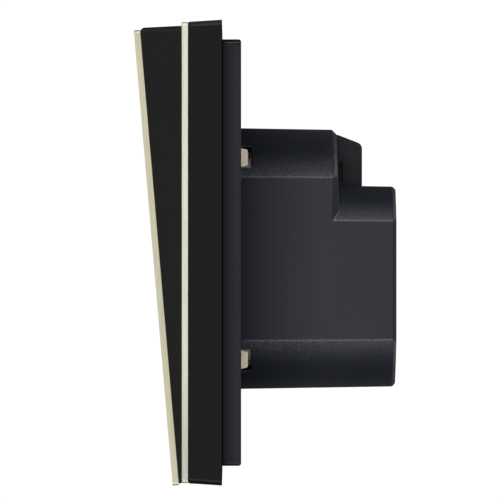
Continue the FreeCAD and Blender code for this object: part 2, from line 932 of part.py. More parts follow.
def spring_path_values():
    """First angle of the coil, its last angle and the X of its two ends."""
    first = 180 + spring_leg_angle
    last = first - 360 * spring_turns
    x_last = lever_hub_right + spring_wire_radius + spring_end_bend + spring_end_gap
    x_first = x_last + spring_pitch * spring_turns
    return first, last, x_first, x_last


def spring_course(angle):
    """The way that the wire runs at a point of the coil."""
    turn = math.radians(angle)
    return V(0, math.sin(turn), -math.cos(turn))


def spring_end_place():
    """The tip of the wire's inner end, which points into the hub."""
    _, last, _, x_last = spring_path_values()
    corner = spring_point(last, x_last) + spring_course(last) * spring_end_bend
    return V(lever_hub_right - spring_end, corner.y, corner.z)


def make_lever_spring():
    first, last, x_first, x_last = spring_path_values()
    steps = round(4 * spring_turns)
    turn = (last - first) / steps
    advance = (x_last - x_first) / steps
    start = spring_point(first, x_first)
    along = spring_course(first)
    edges = [Part.LineSegment(start - along * spring_leg, start).toShape()]
    for i in range(steps):
        points = [spring_point(first + turn * step, x_first + advance * step)
                  for step in (i, i + 0.5, i + 1)]
        edges.append(Part.Arc(*points).toShape())
    coil_end = spring_point(last, x_last)
    inward = V(-spring_end_bend, 0, 0)
    ahead = spring_course(last) * spring_end_bend
    half = math.sqrt(0.5)
    bend_middle = coil_end + ahead * half + inward * (1 - half)
    bend_end = coil_end + ahead + inward
    edges.append(Part.Arc(coil_end, bend_middle, bend_end).toShape())
    edges.append(Part.LineSegment(bend_end, spring_end_place()).toShape())
    circle = Part.Wire(Part.Circle(start - along * spring_leg, along, spring_wire_radius).toShape())
    return Part.Wire(edges).makePipeShell([circle], True, False)


def make_microswitch_case():
    half = switch_width / 2
    case = block(switch_x - half, switch_x + half, switch_front, board_front,
                 plunger_z - switch_height / 2, plunger_z + switch_height / 2)
    case = case.makeFillet(switch_edge, edges_in_plane(case, switch_front))
    wide = plunger_width / 2 + plunger_gap
    high = plunger_height / 2 + plunger_gap
    depth = plunger_in + plunger_travel + plunger_gap
    well = block(-wide, wide, switch_front, switch_front + depth, plunger_z - high, plunger_z + high)
    return case.cut(well)


def make_microswitch_plunger():
    high = plunger_height / 2
    start = plunger_tip_y
    stem = block(-plunger_width / 2, plunger_width / 2, start + plunger_dome,
                 switch_front + plunger_in, plunger_z - high, plunger_z + high)
    dome = rod_along_x(plunger_dome, start + plunger_dome, plunger_z, -plunger_width / 2, plunger_width / 2)
    dome = dome.common(block(-plunger_width, plunger_width, start, start + plunger_dome,
                             plunger_z - high, plunger_z + high))
    return stem.fuse(dome).removeSplitter()


def switch_pin_xs():
    return [switch_x + i * switch_pin_pitch for i in (-1, 0, 1)]


def make_microswitch_pins():
    half = switch_pin_width / 2
    thick = switch_pin_thickness / 2
    end = board_rear + lead_stub
    low = plunger_z - thick
    high = plunger_z + thick
    return Part.makeCompound([block(x - half, x + half, board_front, end, low, high)
                              for x in switch_pin_xs()])


def relay_pin_places():
    """The common pin and the coil's two pins at one end, and the contacts' two at the other."""
    reach = relay_width / 2 - relay_pin_inset
    common = relay_x - reach
    low = relay_z - relay_pin_rise
    high = relay_z + relay_pin_rise
    coil = common + relay_pin_row
    contact = relay_x + reach
    return [(common, relay_z), (coil, low), (coil, high), (contact, low), (contact, high)]


def make_relay_case():
    rear = board_rear + stand_gap
    half_x = relay_width / 2
    half_z = relay_height / 2
    case = block(relay_x - half_x, relay_x + half_x, rear, rear + relay_length,
                 relay_z - half_z, relay_z + half_z)
    return case.makeFillet(relay_edge, edges_in_plane(case, rear + relay_length))


def make_relay_pins():
    start = board_front - lead_out
    return Part.makeCompound([rod_along_y(relay_pin_radius, x, z, start, board_rear + stand_gap)
                              for x, z in relay_pin_places()])


def make_film_capacitor():
    rear = board_rear + stand_gap
    half_x = film_width / 2
    half_z = film_height / 2
    box = block(film_x - half_x, film_x + half_x, rear, rear + film_length, film_z - half_z, film_z + half_z)
    return box.makeFillet(film_edge, edges_in_plane(box, rear + film_length))


def make_electrolytic_capacitor():
    rear = board_rear + stand_gap
    can = rod_along_y(electrolytic_radius, electrolytic_x, electrolytic_z, rear, rear + electrolytic_length)
    can = can.makeFillet(electrolytic_groove, edges_in_plane(can, rear + electrolytic_length))
    ring = Part.makeTorus(electrolytic_radius + electrolytic_groove / 2, electrolytic_groove,
                          V(electrolytic_x, rear + electrolytic_groove_height, electrolytic_z), V(0, 1, 0))
    return can.cut(ring)


def make_varistor():
    y = board_rear + stand_gap + varistor_radius
    half = varistor_thickness / 2
    coated = rod_along_z(varistor_radius, varistor_x, y, varistor_z - half, varistor_z + half)
    rims = [edge for edge in coated.Edges if edge.Closed]
    return coated.makeFillet(varistor_thickness / 4, rims)


def make_fuse():
    rear = board_rear + stand_gap
    can = rod_along_y(fuse_radius, fuse_x, fuse_z, rear, rear + fuse_length)
    return can.makeFillet(film_edge, edges_in_plane(can, rear + fuse_length))


def make_dropper_resistors():
    y = board_rear + stand_gap + resistor_radius
    half = resistor_length / 2
    return Part.makeCompound([rod_along_x(resistor_radius, y, z, resistor_x - half, resistor_x + half)
                              for z in resistor_zs()])


def make_rectifier_diodes():
    start = board_rear + stand_gap
    return Part.makeCompound([rod_along_y(diode_radius, x, z, start, start + diode_length)
                              for x, z in diode_places()])


def make_control_chip():
    rear = board_front - chip_stand
    half_x = chip_width / 2
    half_z = chip_height / 2
    body = block(chip_x - half_x, chip_x + half_x, rear - chip_depth, rear, chip_z - half_z, chip_z + half_z)
    front = rear - chip_depth
    notch = rod_along_y(chip_notch_radius, chip_x - half_x, chip_z, front, front + chip_notch_depth)
    return body.cut(notch)


def chip_leg_xs():
    middle = (chip_legs_in_row - 1) / 2
    return [chip_x + (i - middle) * chip_pitch for i in range(chip_legs_in_row)]


def chip_leg_zs():
    """Heights of the chip's two rows of legs."""
    out = chip_height / 2 + chip_leg_thickness / 2
    return [chip_z - out, chip_z + out]


def round_lead_places():
    """Each round lead that runs straight from a component behind the board: x, z and its rear end."""
    seat = board_rear + stand_gap
    lead_reach = varistor_pitch / 2 - lead_radius
    varistor_rim = seat + varistor_radius - math.sqrt(varistor_radius ** 2 - lead_reach ** 2)
    places = []
    for side in (-0.5, 0.5):
        places.append((film_x + side * film_pitch, film_z, seat))
        places.append((electrolytic_x + side * electrolytic_pitch, electrolytic_z, seat))
        places.append((varistor_x + side * varistor_pitch, varistor_z, varistor_rim))
        places.append((fuse_x + side * fuse_pitch, fuse_z, seat))
    return places


def resistor_lead_places():
    out = resistor_length / 2 + resistor_lead_bend
    return [(resistor_x + side * out, z) for side in (-1, 1) for z in resistor_zs()]


def make_component_leads():
    front = board_front - lead_out
    leads = [rod_along_y(lead_radius, x, z, front, end) for x, z, end in round_lead_places()]
    leads += [rod_along_y(lead_radius, x, z, front, board_rear + stand_gap) for x, z in diode_places()]
    y = board_rear + stand_gap + resistor_radius
    for x, z in resistor_lead_places():
        inner = resistor_x + math.copysign(resistor_length / 2, x - resistor_x)
        low, high = sorted((inner, x))
        bend = Part.makeSphere(lead_radius, V(x, y, z))
        arm = rod_along_x(lead_radius, y, z, low, high)
        leads.append(arm.fuse([bend, rod_along_y(lead_radius, x, z, front, y)]).removeSplitter())
    half = chip_leg_width / 2
    thick = chip_leg_thickness / 2
    for x in chip_leg_xs():
        for z in chip_leg_zs():
            leads.append(block(x - half, x + half, board_front - chip_stand - chip_depth / 2,
                               board_rear + lead_stub, z - thick, z + thick))
    for side in (-0.5, 0.5):
        x = side * lamp_lead_pitch
        leads.append(rod_along_y(lead_radius, x, light_z, board_front, board_rear + lead_stub))
    return Part.makeCompound(leads)


def make_indicator_led():
    front = board_front - lamp_height
    stem = rod_along_y(lamp_radius, 0, light_z, front + lamp_radius, board_front)
    dome = Part.makeSphere(lamp_radius, V(0, front + lamp_radius, light_z))
    collar = rod_along_y(lamp_collar_radius, 0, light_z, board_front - lamp_collar, board_front)
    return stem.fuse([dome, collar]).removeSplitter()


def make_main_board():
    gap = body_wall + board_gap
    board = Part.Face(shallow_outline(gap, board_front)).extrude(V(0, board_thickness, 0))
    radius = lead_radius + lead_gap
    hole = board_screw_radius + board_hole_gap
    cuts = [rod_along_y(hole, x, z, board_front, board_rear) for x, z in post_places()]
    cuts += [rod_along_y(radius, x, z, board_front, board_rear) for x, z, _ in round_lead_places()]
    cuts += [rod_along_y(radius, x, z, board_front, board_rear) for x, z in diode_places()]
    cuts += [rod_along_y(radius, x, z, board_front, board_rear) for x, z in resistor_lead_places()]
    cuts += [rod_along_y(relay_pin_radius + lead_gap, x, z, board_front, board_rear)
             for x, z in relay_pin_places()]
    cuts += [rod_along_y(radius, side * lamp_lead_pitch, light_z, board_front, board_rear)
             for side in (-0.5, 0.5)]
    cuts += [rod_along_y(radius, x, z, board_front, board_rear)
             for x in chip_leg_xs() for z in chip_leg_zs()]
    half = switch_pin_width / 2 + lead_gap
    thick = switch_pin_thickness / 2 + lead_gap
    cuts += [block(x - half, x + half, board_front, board_rear, plunger_z - thick, plunger_z + thick)
             for x in switch_pin_xs()]
    wide = tab_width / 2 + tab_gap
    cuts += [block(x - wide, x + wide, board_front, board_rear,
                   clamp_bottom - tab_gap, clamp_bottom + tab_thickness + tab_gap) for x in terminal_xs()]
    return board.cut(cuts)


def make_board_screws():
    screws = []
    start = board_rear - board_screw_length + board_screw_gap
    end = board_rear + board_screw_head
    half = board_screw_slot / 2
    for x, z in post_places():
        head = rod_along_y(board_screw_head_radius, x, z, board_rear, end)
        head = head.makeFillet(board_screw_head / 2, edges_in_plane(head, end))
        shank = rod_along_y(board_screw_radius, x, z, start, board_rear)
        slot = block(x - board_screw_head_radius, x + board_screw_head_radius,
                     end - board_screw_head / 2, end, z - half, z + half)
        screws.append(head.fuse(shank).cut(slot))
    return Part.makeCompound(screws)


def stepped_body(inset, step_edge, rear_edge):
    """The housing's shape, inset from its size: the whole outline, lowered behind the step."""
    step = shallow_depth - inset
    rear = deep_depth - inset
    whole = drafted(shallow_outline, inset, -rim_depth, rear, rear_edge)
    roof_inset = inset - shallow_depth * draft_rise
    roof = drafted(roof_outline, roof_inset, step - 2 * shallow_edge, rear, rear_edge)
    above = block(-beyond, beyond, step, rear, -beyond, beyond).cut(roof)
    body = whole.cut(above)
    if step_edge > 0:
        bevel = Part.makeLoft([shallow_outline(inset + (step - step_edge) * draft_rise, step - step_edge),
                               shallow_outline(inset + step_edge + step * draft_rise, step)], True, True)
        ring = disc(step_edge, step - step_edge, step).cut([bevel, roof])
        body = body.cut(ring)
    return body


def make_rear_housing():
    shell = stepped_body(0, shallow_edge, deep_edge).cut(stepped_body(body_wall, 0, 0))
    window = block(body_radius - body_wall - overrun, body_radius + overrun, window_front, window_rear,
                   -window_width / 2, window_width / 2)
    window.translate(body_center)
    cuts = [at_hook(window, angle) for angle in hook_angles()]
    wide = neck_half_width + neck_gap
    cuts.append(block(-wide, wide, shallow_depth - body_wall, shallow_depth,
                      neck_bottom - neck_gap, neck_top + neck_gap))
    return shell.cut(cuts)


def clamp_rear():
    return block_rear - clamp_behind_mouth


def clamp_screw_y():
    return clamp_rear() - clamp_screw_inset


def make_terminal_block():
    seat = deep_top + block_seat_gap
    slope = math.tan(math.radians(block_slant))
    points = [
        (block_front, seat),
        (block_front, block_top),
        (block_rear, block_top - block_depth * slope),
        (block_rear, seat - block_depth * draft_rise),
    ]
    body = side_prism(points, -block_half_width, block_half_width, [0, 0, block_corner, 0])
    neck_front = block_front - neck_length
    neck = block(-neck_half_width, neck_half_width, neck_front, block_front, neck_bottom, neck_top)
    nib_rear = shallow_depth - body_wall - neck_gap
    nib_profile = [
        (neck_half_width, nib_rear),
        (neck_half_width + neck_nib, nib_rear),
        (neck_half_width, nib_rear - neck_nib_length),
    ]
    nib = top_prism(nib_profile, neck_bottom + neck_nib_margin, neck_top - neck_nib_margin)
    latch = block(block_half_width, block_half_width + latch_proud, block_front + latch_front,
                  block_front + latch_front + latch_length, latch_bottom, latch_bottom + latch_height)
    groove = block(block_half_width - groove_depth, block_half_width, block_front + latch_front,
                   block_front + latch_front + latch_length, groove_bottom, groove_bottom + groove_height)
    body = body.fuse([neck] + both_sides(nib) + both_sides(latch)).removeSplitter()
    cuts = both_sides(groove)
    for x in terminal_xs():
        half = clamp_width / 2 + cell_gap
        cuts.append(block(x - half, x + half, neck_front, clamp_rear() + cell_gap,
                          clamp_bottom - cell_gap, clamp_bottom + clamp_height + cell_gap))
        cuts.append(wire_mouth(x))
        cuts.append(rod_along_z(clamp_head_radius + clamp_head_gap, x, clamp_screw_y(),
                                clamp_bottom + clamp_height, block_top + overrun))
    return body.cut(cuts)


def wire_mouth(x):
    """The funnel that a wire goes in by."""
    middle = clamp_bottom + clamp_floor + (clamp_height - clamp_floor - clamp_roof) / 2
    wires = []
    for y, extra in ((clamp_rear(), 0), (block_rear - mouth_funnel, 0), (block_rear, mouth_funnel)):
        half_x = mouth_width / 2 + extra
        half_z = mouth_height / 2 + extra
        corners = [V(x - half_x, y, middle - half_z), V(x + half_x, y, middle - half_z),
                   V(x + half_x, y, middle + half_z), V(x - half_x, y, middle + half_z)]
        wires.append(rounded_loop(corners, [0] * 4))
    return Part.makeLoft(wires, True, True)


def make_terminal_clamps():
    clamps = []
    rear = clamp_rear()
    front = rear - clamp_length
    top = clamp_bottom + clamp_height
    for x in terminal_xs():
        half = clamp_width / 2
        cage = block(x - half, x + half, front, rear, clamp_bottom, top)
        bore = block(x - half + clamp_side, x + half - clamp_side, front, rear,
                     clamp_bottom + clamp_floor, top - clamp_roof)
        hole = rod_along_z(clamp_screw_radius + clamp_screw_gap, x, clamp_screw_y(), top - clamp_roof, top)
        clamps.append(cage.cut([bore, hole]))
    return Part.makeCompound(clamps)


def make_terminal_screws():
    screws = []
    y = clamp_screw_y()
    top = clamp_bottom + clamp_height
    for x in terminal_xs():
        shank = rod_along_z(clamp_screw_radius, x, y, top - clamp_roof, top)
        head = rod_along_z(clamp_head_radius, x, y, top, top + clamp_head)
        slot = block(x - clamp_head_radius, x + clamp_head_radius, y - driver_slot_width / 2,
                     y + driver_slot_width / 2, top + clamp_head - driver_slot_depth, top + clamp_head)
        screws.append(shank.fuse(head).cut(slot))
    return Part.makeCompound(screws)


def make_terminal_tabs():
    front = board_front - lead_out
    rear = clamp_rear() - clamp_length
    half = tab_width / 2
    tabs = [block(x - half, x + half, front, rear, clamp_bottom, clamp_bottom + tab_thickness)
            for x in terminal_xs()]
    return Part.makeCompound(tabs)


makers = {
    "fascia_plate": make_fascia_plate,
    "card_pocket": make_card_pocket,
    "trim_plate": make_trim_plate,
    "cover_frame": make_cover_frame,
    "light_guide": make_light_guide,
    "support_plate": make_support_plate,
    "front_chassis": make_front_chassis,
    "card_lever": make_card_lever,
    "lever_pin": make_lever_pin,
    "lever_spring": make_lever_spring,
    "microswitch_case": make_microswitch_case,
    "microswitch_plunger": make_microswitch_plunger,
    "microswitch_pins": make_microswitch_pins,
    "main_board": make_main_board,
    "board_screws": make_board_screws,
    "indicator_led": make_indicator_led,
    "control_chip": make_control_chip,
    "relay_case": make_relay_case,
    "relay_pins": make_relay_pins,
    "film_capacitor": make_film_capacitor,
    "electrolytic_capacitor": make_electrolytic_capacitor,
    "varistor": make_varistor,
    "fuse": make_fuse,
    "dropper_resistors": make_dropper_resistors,
    "rectifier_diodes": make_rectifier_diodes,
    "component_leads": make_component_leads,
    "rear_housing": make_rear_housing,
    "terminal_block": make_terminal_block,
    "terminal_clamps": make_terminal_clamps,
    "terminal_screws": make_terminal_screws,
    "terminal_tabs": make_terminal_tabs,
}

os.makedirs("parts", exist_ok=True)
for name, make in makers.items():
    shape = make()
    box = shape.BoundBox
    print(f"{name:24s} solids {len(shape.Solids)} valid {shape.isValid()} volume {shape.Volume:9.2f}"
          f"  x {box.XMin:7.2f} {box.XMax:7.2f}  y {box.YMin:7.2f} {box.YMax:7.2f}"
          f"  z {box.ZMin:7.2f} {box.ZMax:7.2f}")
    shape.exportStep(f"parts/{name}.step")
print(f"pivot at y {pivot_y:.4f}, z {pivot_z:.4f}; plunger travel {plunger_travel:.4f}")
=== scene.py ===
# %% [markdown]
# # A key card switch, from its frame to its finish
# The object is a square wall switch from a hotel room. A metal fascia leans out at the top, and
# a key card drops in behind it. The construction is ready: every piece comes in as a plain grey
# solid that already lies in its right place. This notebook gives each piece its rounded edges,
# its small details and its finish. Blender counts in metres and a switch is made in
# millimetres, so `MM` leads from the one to the other.

# %% Load the frame
import math

import bmesh
import bpy
from mathutils import Matrix, Vector
from mathutils.bvhtree import BVHTree
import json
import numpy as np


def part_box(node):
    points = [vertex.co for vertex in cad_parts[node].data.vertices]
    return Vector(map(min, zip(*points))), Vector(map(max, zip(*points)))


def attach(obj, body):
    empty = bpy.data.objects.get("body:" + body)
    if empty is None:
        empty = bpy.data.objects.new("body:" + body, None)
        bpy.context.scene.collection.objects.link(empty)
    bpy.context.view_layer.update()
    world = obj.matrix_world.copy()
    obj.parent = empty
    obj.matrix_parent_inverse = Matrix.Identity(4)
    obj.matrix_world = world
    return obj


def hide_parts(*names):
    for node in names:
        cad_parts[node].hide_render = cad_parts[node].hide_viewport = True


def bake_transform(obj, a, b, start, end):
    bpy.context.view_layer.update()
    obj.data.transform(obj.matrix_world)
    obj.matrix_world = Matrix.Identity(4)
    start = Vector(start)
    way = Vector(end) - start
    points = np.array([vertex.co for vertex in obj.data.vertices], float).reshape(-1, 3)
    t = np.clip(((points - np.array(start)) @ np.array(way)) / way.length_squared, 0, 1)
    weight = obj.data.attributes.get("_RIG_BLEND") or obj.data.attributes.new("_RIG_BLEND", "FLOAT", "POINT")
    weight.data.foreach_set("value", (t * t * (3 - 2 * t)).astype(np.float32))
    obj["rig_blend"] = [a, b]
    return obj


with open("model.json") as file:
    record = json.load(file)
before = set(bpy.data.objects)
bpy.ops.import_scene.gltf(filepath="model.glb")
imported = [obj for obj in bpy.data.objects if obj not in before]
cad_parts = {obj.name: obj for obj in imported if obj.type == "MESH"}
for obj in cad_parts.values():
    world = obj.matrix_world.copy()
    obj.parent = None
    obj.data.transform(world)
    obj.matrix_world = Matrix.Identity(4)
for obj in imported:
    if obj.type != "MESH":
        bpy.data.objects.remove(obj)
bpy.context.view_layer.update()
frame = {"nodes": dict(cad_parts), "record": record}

MM = 0.001
nodes = frame["nodes"]

# %% [markdown]
# ## Writing node trees as sums
# A material or a geometry tree is a web of nodes. Placing each node by hand makes long scripts
# that hide the idea. Here one small class holds a node's output and overloads the signs of
# arithmetic, so that a mask can be written as `1 - grain * 0.5`, and each sign adds its own
# Math node. A second class holds the tree, and its method `add` makes any other node. The
# methods below it are short names for the nodes that this switch needs most.

# %% A socket that does sums


class Wire:
    """The output of a node, ready to be used in a sum."""

    def __init__(self, graph, socket):
        self.graph = graph
        self.socket = socket

    def __add__(self, other):
        return self.graph.math("ADD", self, other)

    def __sub__(self, other):
        return self.graph.math("SUBTRACT", self, other)

    def __rsub__(self, other):
        return self.graph.math("SUBTRACT", other, self)

    def __mul__(self, other):
        return self.graph.math("MULTIPLY", self, other)

    def __truediv__(self, other):
        return self.graph.math("DIVIDE", self, other)

    def __gt__(self, limit):
        return self.graph.math("GREATER_THAN", self, limit)

    __radd__ = __add__
    __rmul__ = __mul__


# %% [markdown]
# ## The tree itself
# A node has settings, which decide what sockets it shows, and sockets, which take a number or a
# link. So `add` sets the first before it fills the second. Colours go through a Mix node, since
# a Math node would turn them grey.

# %% A tree that is being written


class Graph:
    """A node tree, and the ways to add to it."""

    def __init__(self, tree):
        self.tree = tree

    def add(self, kind, settings=None, inputs=None, output=0):
        """Any node; an input is a value, a wire or, where a socket takes several, a list of wires."""
        node = self.tree.nodes.new(kind)
        for name, value in (settings or {}).items():
            setattr(node, name, value)
        for name, value in (inputs or {}).items():
            for part in value if isinstance(value, list) else [value]:
                if isinstance(part, Wire):
                    self.tree.links.new(part.socket, node.inputs[name])
                else:
                    node.inputs[name].default_value = part
        return Wire(self, node.outputs[output]) if len(node.outputs) else node

    def math(self, operation, *values):
        return self.add("ShaderNodeMath", {"operation": operation}, dict(enumerate(values)))

    def clamped(self, value):
        return self.add("ShaderNodeClamp", None, {"Value": value})

    def mix(self, factor, first, second):
        """Between two colours; these sockets share their names, so they go by number."""
        return self.add("ShaderNodeMix", {"data_type": "RGBA"}, {0: factor, 6: first, 7: second}, 2)

    def scaled(self, place, factors):
        """A place with each of its coordinates multiplied, which stretches a pattern."""
        return self.add("ShaderNodeVectorMath", {"operation": "MULTIPLY"}, {0: place, 1: factors})

    def noise(self, place, scale, detail):
        return self.add("ShaderNodeTexNoise", None, {"Vector": place, "Scale": scale, "Detail": detail})

    def attribute(self, name):
        return self.add("ShaderNodeAttribute", {"attribute_name": name}, output="Fac")

    def share_along(self, place, axis, start, end):
        """0 up to one place on an axis and 1 from the other, both in millimetres."""
        along = self.add("ShaderNodeSeparateXYZ", None, {0: place}, output=axis)
        return self.clamped((along - start * MM) * (1 / ((end - start) * MM)))

    def join(self, *parts):
        """Several geometries as one."""
        return self.add("GeometryNodeJoinGeometry", None, {0: list(parts)})


# %% [markdown]
# ## Colours as the eye reads them
# A colour on a screen is written from 0 to 255, in steps that look even to the eye. Light adds
# up on another scale, and a shader works on that one. The tones of this switch were judged one
# by one, so they are written as screen values and turned here. `shade` makes the darker and
# lighter patches of one finish.

# %% Colours
WHITE = (1.0, 1.0, 1.0, 1.0)


def colour(red, green, blue):
    """A colour as a shader needs it, from its values on a screen."""
    def linear(value):
        share = value / 255
        return share / 12.92 if share <= 0.04045 else ((share + 0.055) / 1.055) ** 2.4
    return (linear(red), linear(green), linear(blue), 1.0)


def shade(tone, factor):
    return tuple(min(1.0, part * factor) for part in tone[:3]) + (1.0,)


print("a screen value of 128 is", round(colour(128, 128, 128)[0], 3), "of white's light")

# %% [markdown]
# ## A start for every finish
# Each material starts from an empty tree with one shader. Its patterns read the Object
# coordinates, which are metres in the frame of the whole switch, so a grain of a third of a
# millimetre is a noise with a scale of about 3000. The attribute `edge` is 1 on the narrow
# faces that round an edge. Several finishes make those faces lighter: partly the wear that real
# plastic gets there, and partly a painted highlight where a round catches the light.

# %% New materials


def start_material(name):
    material = bpy.data.materials.new(name)
    material.use_nodes = True
    material.node_tree.nodes.clear()
    graph = Graph(material.node_tree)
    return material, graph, graph.add("ShaderNodeTexCoord", output="Object"), graph.attribute("edge")


def finish_material(graph, inputs, height=None, depth=0.0):
    """Joins the shader to its inputs; a height makes a bump of this depth in metres."""
    if height is not None:
        bump = {"Strength": 1.0, "Distance": depth, "Height": height}
        inputs = {**inputs, "Normal": graph.add("ShaderNodeBump", None, bump)}
    shader = graph.add("ShaderNodeBsdfPrincipled", None, inputs)
    graph.add("ShaderNodeOutputMaterial", None, {"Surface": shader})


# %% [markdown]
# ## Moulded plastic
# The mould of a switch is spark-eroded, which leaves a fine matt grain. It could be a picture
# that is laid on each face, but that shows seams, and it changes size from piece to piece.
# Three noises make it here: slow clouds where the plastic flowed, the grain's pits, and a finer
# dust. They go into the bump and, more weakly, into colour and roughness, so that the grain
# still reads in flat light. On the rounds the same grain breaks up a brighter band, which is
# partly wear and partly a painted highlight.
#
# Some mouldings need more. One setting paints shade into the tone: it grows lighter from one
# depth to another, darker where a piece lies in shade and lighter where light reaches it. Another
# paints a highlight, a paler band from one height to another, with a polish of its own. `sheen`
# is a thin gloss that grows with the depth, and a third setting paints specks of glint into the
# colour where the grain is coarsest. `edge_polish` makes the rounds smoother than the faces.

# %% Plastic
CLOUD_SCALE = 95
DUST_TO_GRAIN = 2.7
# The tone of the painted specks of glint, which stand for light on the grain.
PAINTED_GLINT_TONE = colour(130, 134, 140)


def moulded_plastic(name, tone, rough=0.5, gloss=0.2, grain=3000, depth=0.000012, mottle=0.35,
                    rub_and_painted_highlight=0.1, painted_sparkle=0.0, edge_polish=0.0, haze_and_painted_shade=None, painted_highlight_band=None, sheen=None):
    material, graph, place, edge = start_material(name)
    cloud = graph.noise(place, CLOUD_SCALE, 3.0)
    pits = graph.noise(place, grain, 2.0)
    dust = graph.noise(place, grain * DUST_TO_GRAIN, 1.0)
    coarse = graph.attribute("coarse")
    polish = edge * edge_polish
    coat = {}

    blend = graph.clamped(0.5 + (cloud - 0.5) * mottle * 2 + (pits - 0.5) * 0.9)
    base = graph.mix(blend, shade(tone, 0.72), shade(tone, 1.3))
    # Painted shade and light: the tone grows lighter from one depth to another.
    if haze_and_painted_shade is not None:
        front, rear, factor = haze_and_painted_shade
        base = graph.mix(graph.share_along(place, "Y", front, rear), base, shade(tone, factor))
    # Painted highlight: a paler band from one height to another, where a top round catches the light, with a
    # smoother finish there.
    if painted_highlight_band is not None:
        start, end, highlight_tone, band_polish = painted_highlight_band
        share = graph.share_along(place, "Z", start, end)
        base = graph.mix(share * (0.7 + pits * 0.6), base, highlight_tone)
        polish = polish + share * band_polish
    # Partly wear and partly a painted highlight: the rounded edges get a lighter tone.
    rubbed_and_painted_edges = graph.clamped(edge * (pits + dust - 0.35) * rub_and_painted_highlight)
    base = graph.mix(rubbed_and_painted_edges, base, shade(tone, 2.2))
    # Painted glint: light specks in the colour where the grain is coarsest.
    if painted_sparkle > 0:
        painted_glints = (dust > 0.58) * painted_sparkle
        base = graph.mix(graph.clamped(painted_glints * (coarse + 0.04)), base, PAINTED_GLINT_TONE)
    if sheen is not None:
        front, rear, weight = sheen
        share = graph.share_along(place, "Y", front, rear)
        coat = {"Coat Weight": share * weight, "Coat Roughness": rough}

    finish_material(graph, {
        **coat,
        "Base Color": base,
        "Roughness": rough + (cloud - 0.5) * 0.14 + (pits - 0.5) * 0.2 - rubbed_and_painted_edges * 0.08 - polish,
        "Specular IOR Level": gloss,
    }, (pits + dust * 0.5) * (coarse * 0.6 + 0.4), depth)
    return material


# %% [markdown]
# ## Brushed metal
# The fascia and the trim are aluminium, brushed lengthwise and anodised in champagne. Brushing
# is a noise that is squeezed across the strokes and stretched along them. The strokes change
# the roughness most, because a stroke is a groove that scatters light. The rounded edges get a
# lighter tone, partly wear and partly a painted highlight. The trim gets painted shade towards
# its lower end, a darker tone from one height down.

# %% Brushed metal
STROKES_ACROSS = 5200.0
STROKES_ALONG = 55.0


def brushed_metal(name, tone, rough, painted_shade_low_end=None):
    material, graph, place, edge = start_material(name)
    stretch = (STROKES_ACROSS, STROKES_ACROSS, STROKES_ALONG)
    finer = (STROKES_ACROSS * 2.6, STROKES_ACROSS * 2.6, STROKES_ALONG * 2)
    strokes = graph.noise(graph.scaled(place, stretch), 1.0, 3.0)
    hairs = graph.noise(graph.scaled(place, finer), 1.0, 1.0)
    cloud = graph.noise(place, 45, 2.0)
    blend = graph.clamped(0.5 + (strokes - 0.5) * 1.3 + (cloud - 0.5) * 0.5)
    base = graph.mix(blend, shade(tone, 0.86), shade(tone, 1.07))
    # Partly wear and partly a painted highlight: the rounded edges get a lighter tone.
    base = graph.mix(edge * 0.55, base, shade(tone, 1.18))
    # Painted shade: a darker tone towards the lower end.
    if painted_shade_low_end is not None:
        end, start, factor = painted_shade_low_end
        base = graph.mix(1 - graph.share_along(place, "Z", end, start), base, shade(tone, factor))
    finish_material(graph, {
        "Base Color": base,
        "Metallic": 1.0,
        "Roughness": rough + (strokes - 0.5) * 0.3 + (hairs - 0.5) * 0.12,
    }, strokes + hairs * 0.6, 0.000004)
    return material


# %% [markdown]
# ## Plated metal
# Screws, pins, clamps and the spring are turned, stamped or drawn, and then plated. The tool
# leaves faint lines, and handling leaves stains, so the tone varies by a third and the
# roughness with it. A bare metal shader would look like a mirror.

# %% Plated metal


def plated_metal(name, tone, rough):
    material, graph, place, edge = start_material(name)
    stain = graph.noise(place, 700, 4.0)
    lines = graph.noise(graph.scaled(place, (900.0, 900.0, 9000.0)), 1.0, 2.0)
    base = graph.mix(graph.clamped((stain - 0.4) * 2), shade(tone, 0.7), tone)
    # Partly wear and partly a painted highlight: the rounded edges get a lighter tone.
    base = graph.mix(edge * 0.6, base, shade(tone, 1.25))
    finish_material(graph, {
        "Base Color": base,
        "Metallic": 1.0,
        "Roughness": rough + (stain - 0.5) * 0.3 + (lines - 0.5) * 0.15,
    }, lines + stain * 0.5, 0.000003)
    return material


# %% [markdown]
# ## Dipped and clear skins
# Capacitors, resistors and the board are dipped in lacquer or sleeved, and such a skin is
# glossy with long soft waves: one slow noise with a deep bump, under a weak coat. The light
# guide is a clear bar, faintly hazed where its mould was polished. It needs no coat, only a
# shader that lets light through.

# %% Dipped and clear


def dipped_coat(name, tone, rough):
    material, graph, place, edge = start_material(name)
    wave = graph.noise(place, 900, 2.0)
    speck = graph.noise(place, 6000, 1.0)
    # Partly wear and partly a painted highlight: the rounded edges push the tone lighter.
    base = graph.mix(graph.clamped(0.2 + wave * 0.6 + edge * 0.3), shade(tone, 0.75), shade(tone, 1.25))
    finish_material(graph, {
        "Base Color": base,
        "Roughness": rough + (speck - 0.5) * 0.15 + (wave - 0.5) * 0.1,
        "Coat Weight": 0.3,
    }, wave, 0.00004)
    return material


def clear_plastic(name):
    material, graph, place, edge = start_material(name)
    haze_and_painted_shade = graph.noise(place, 1500, 2.0)
    finish_material(graph, {
        "Base Color": graph.mix(haze_and_painted_shade, colour(232, 238, 240), colour(248, 250, 250)),
        "Roughness": 0.12 + haze_and_painted_shade * 0.2 + edge * 0.1,
        "Transmission Weight": 0.85,
        "IOR": 1.49,
    }, haze_and_painted_shade, 0.000004)
    return material
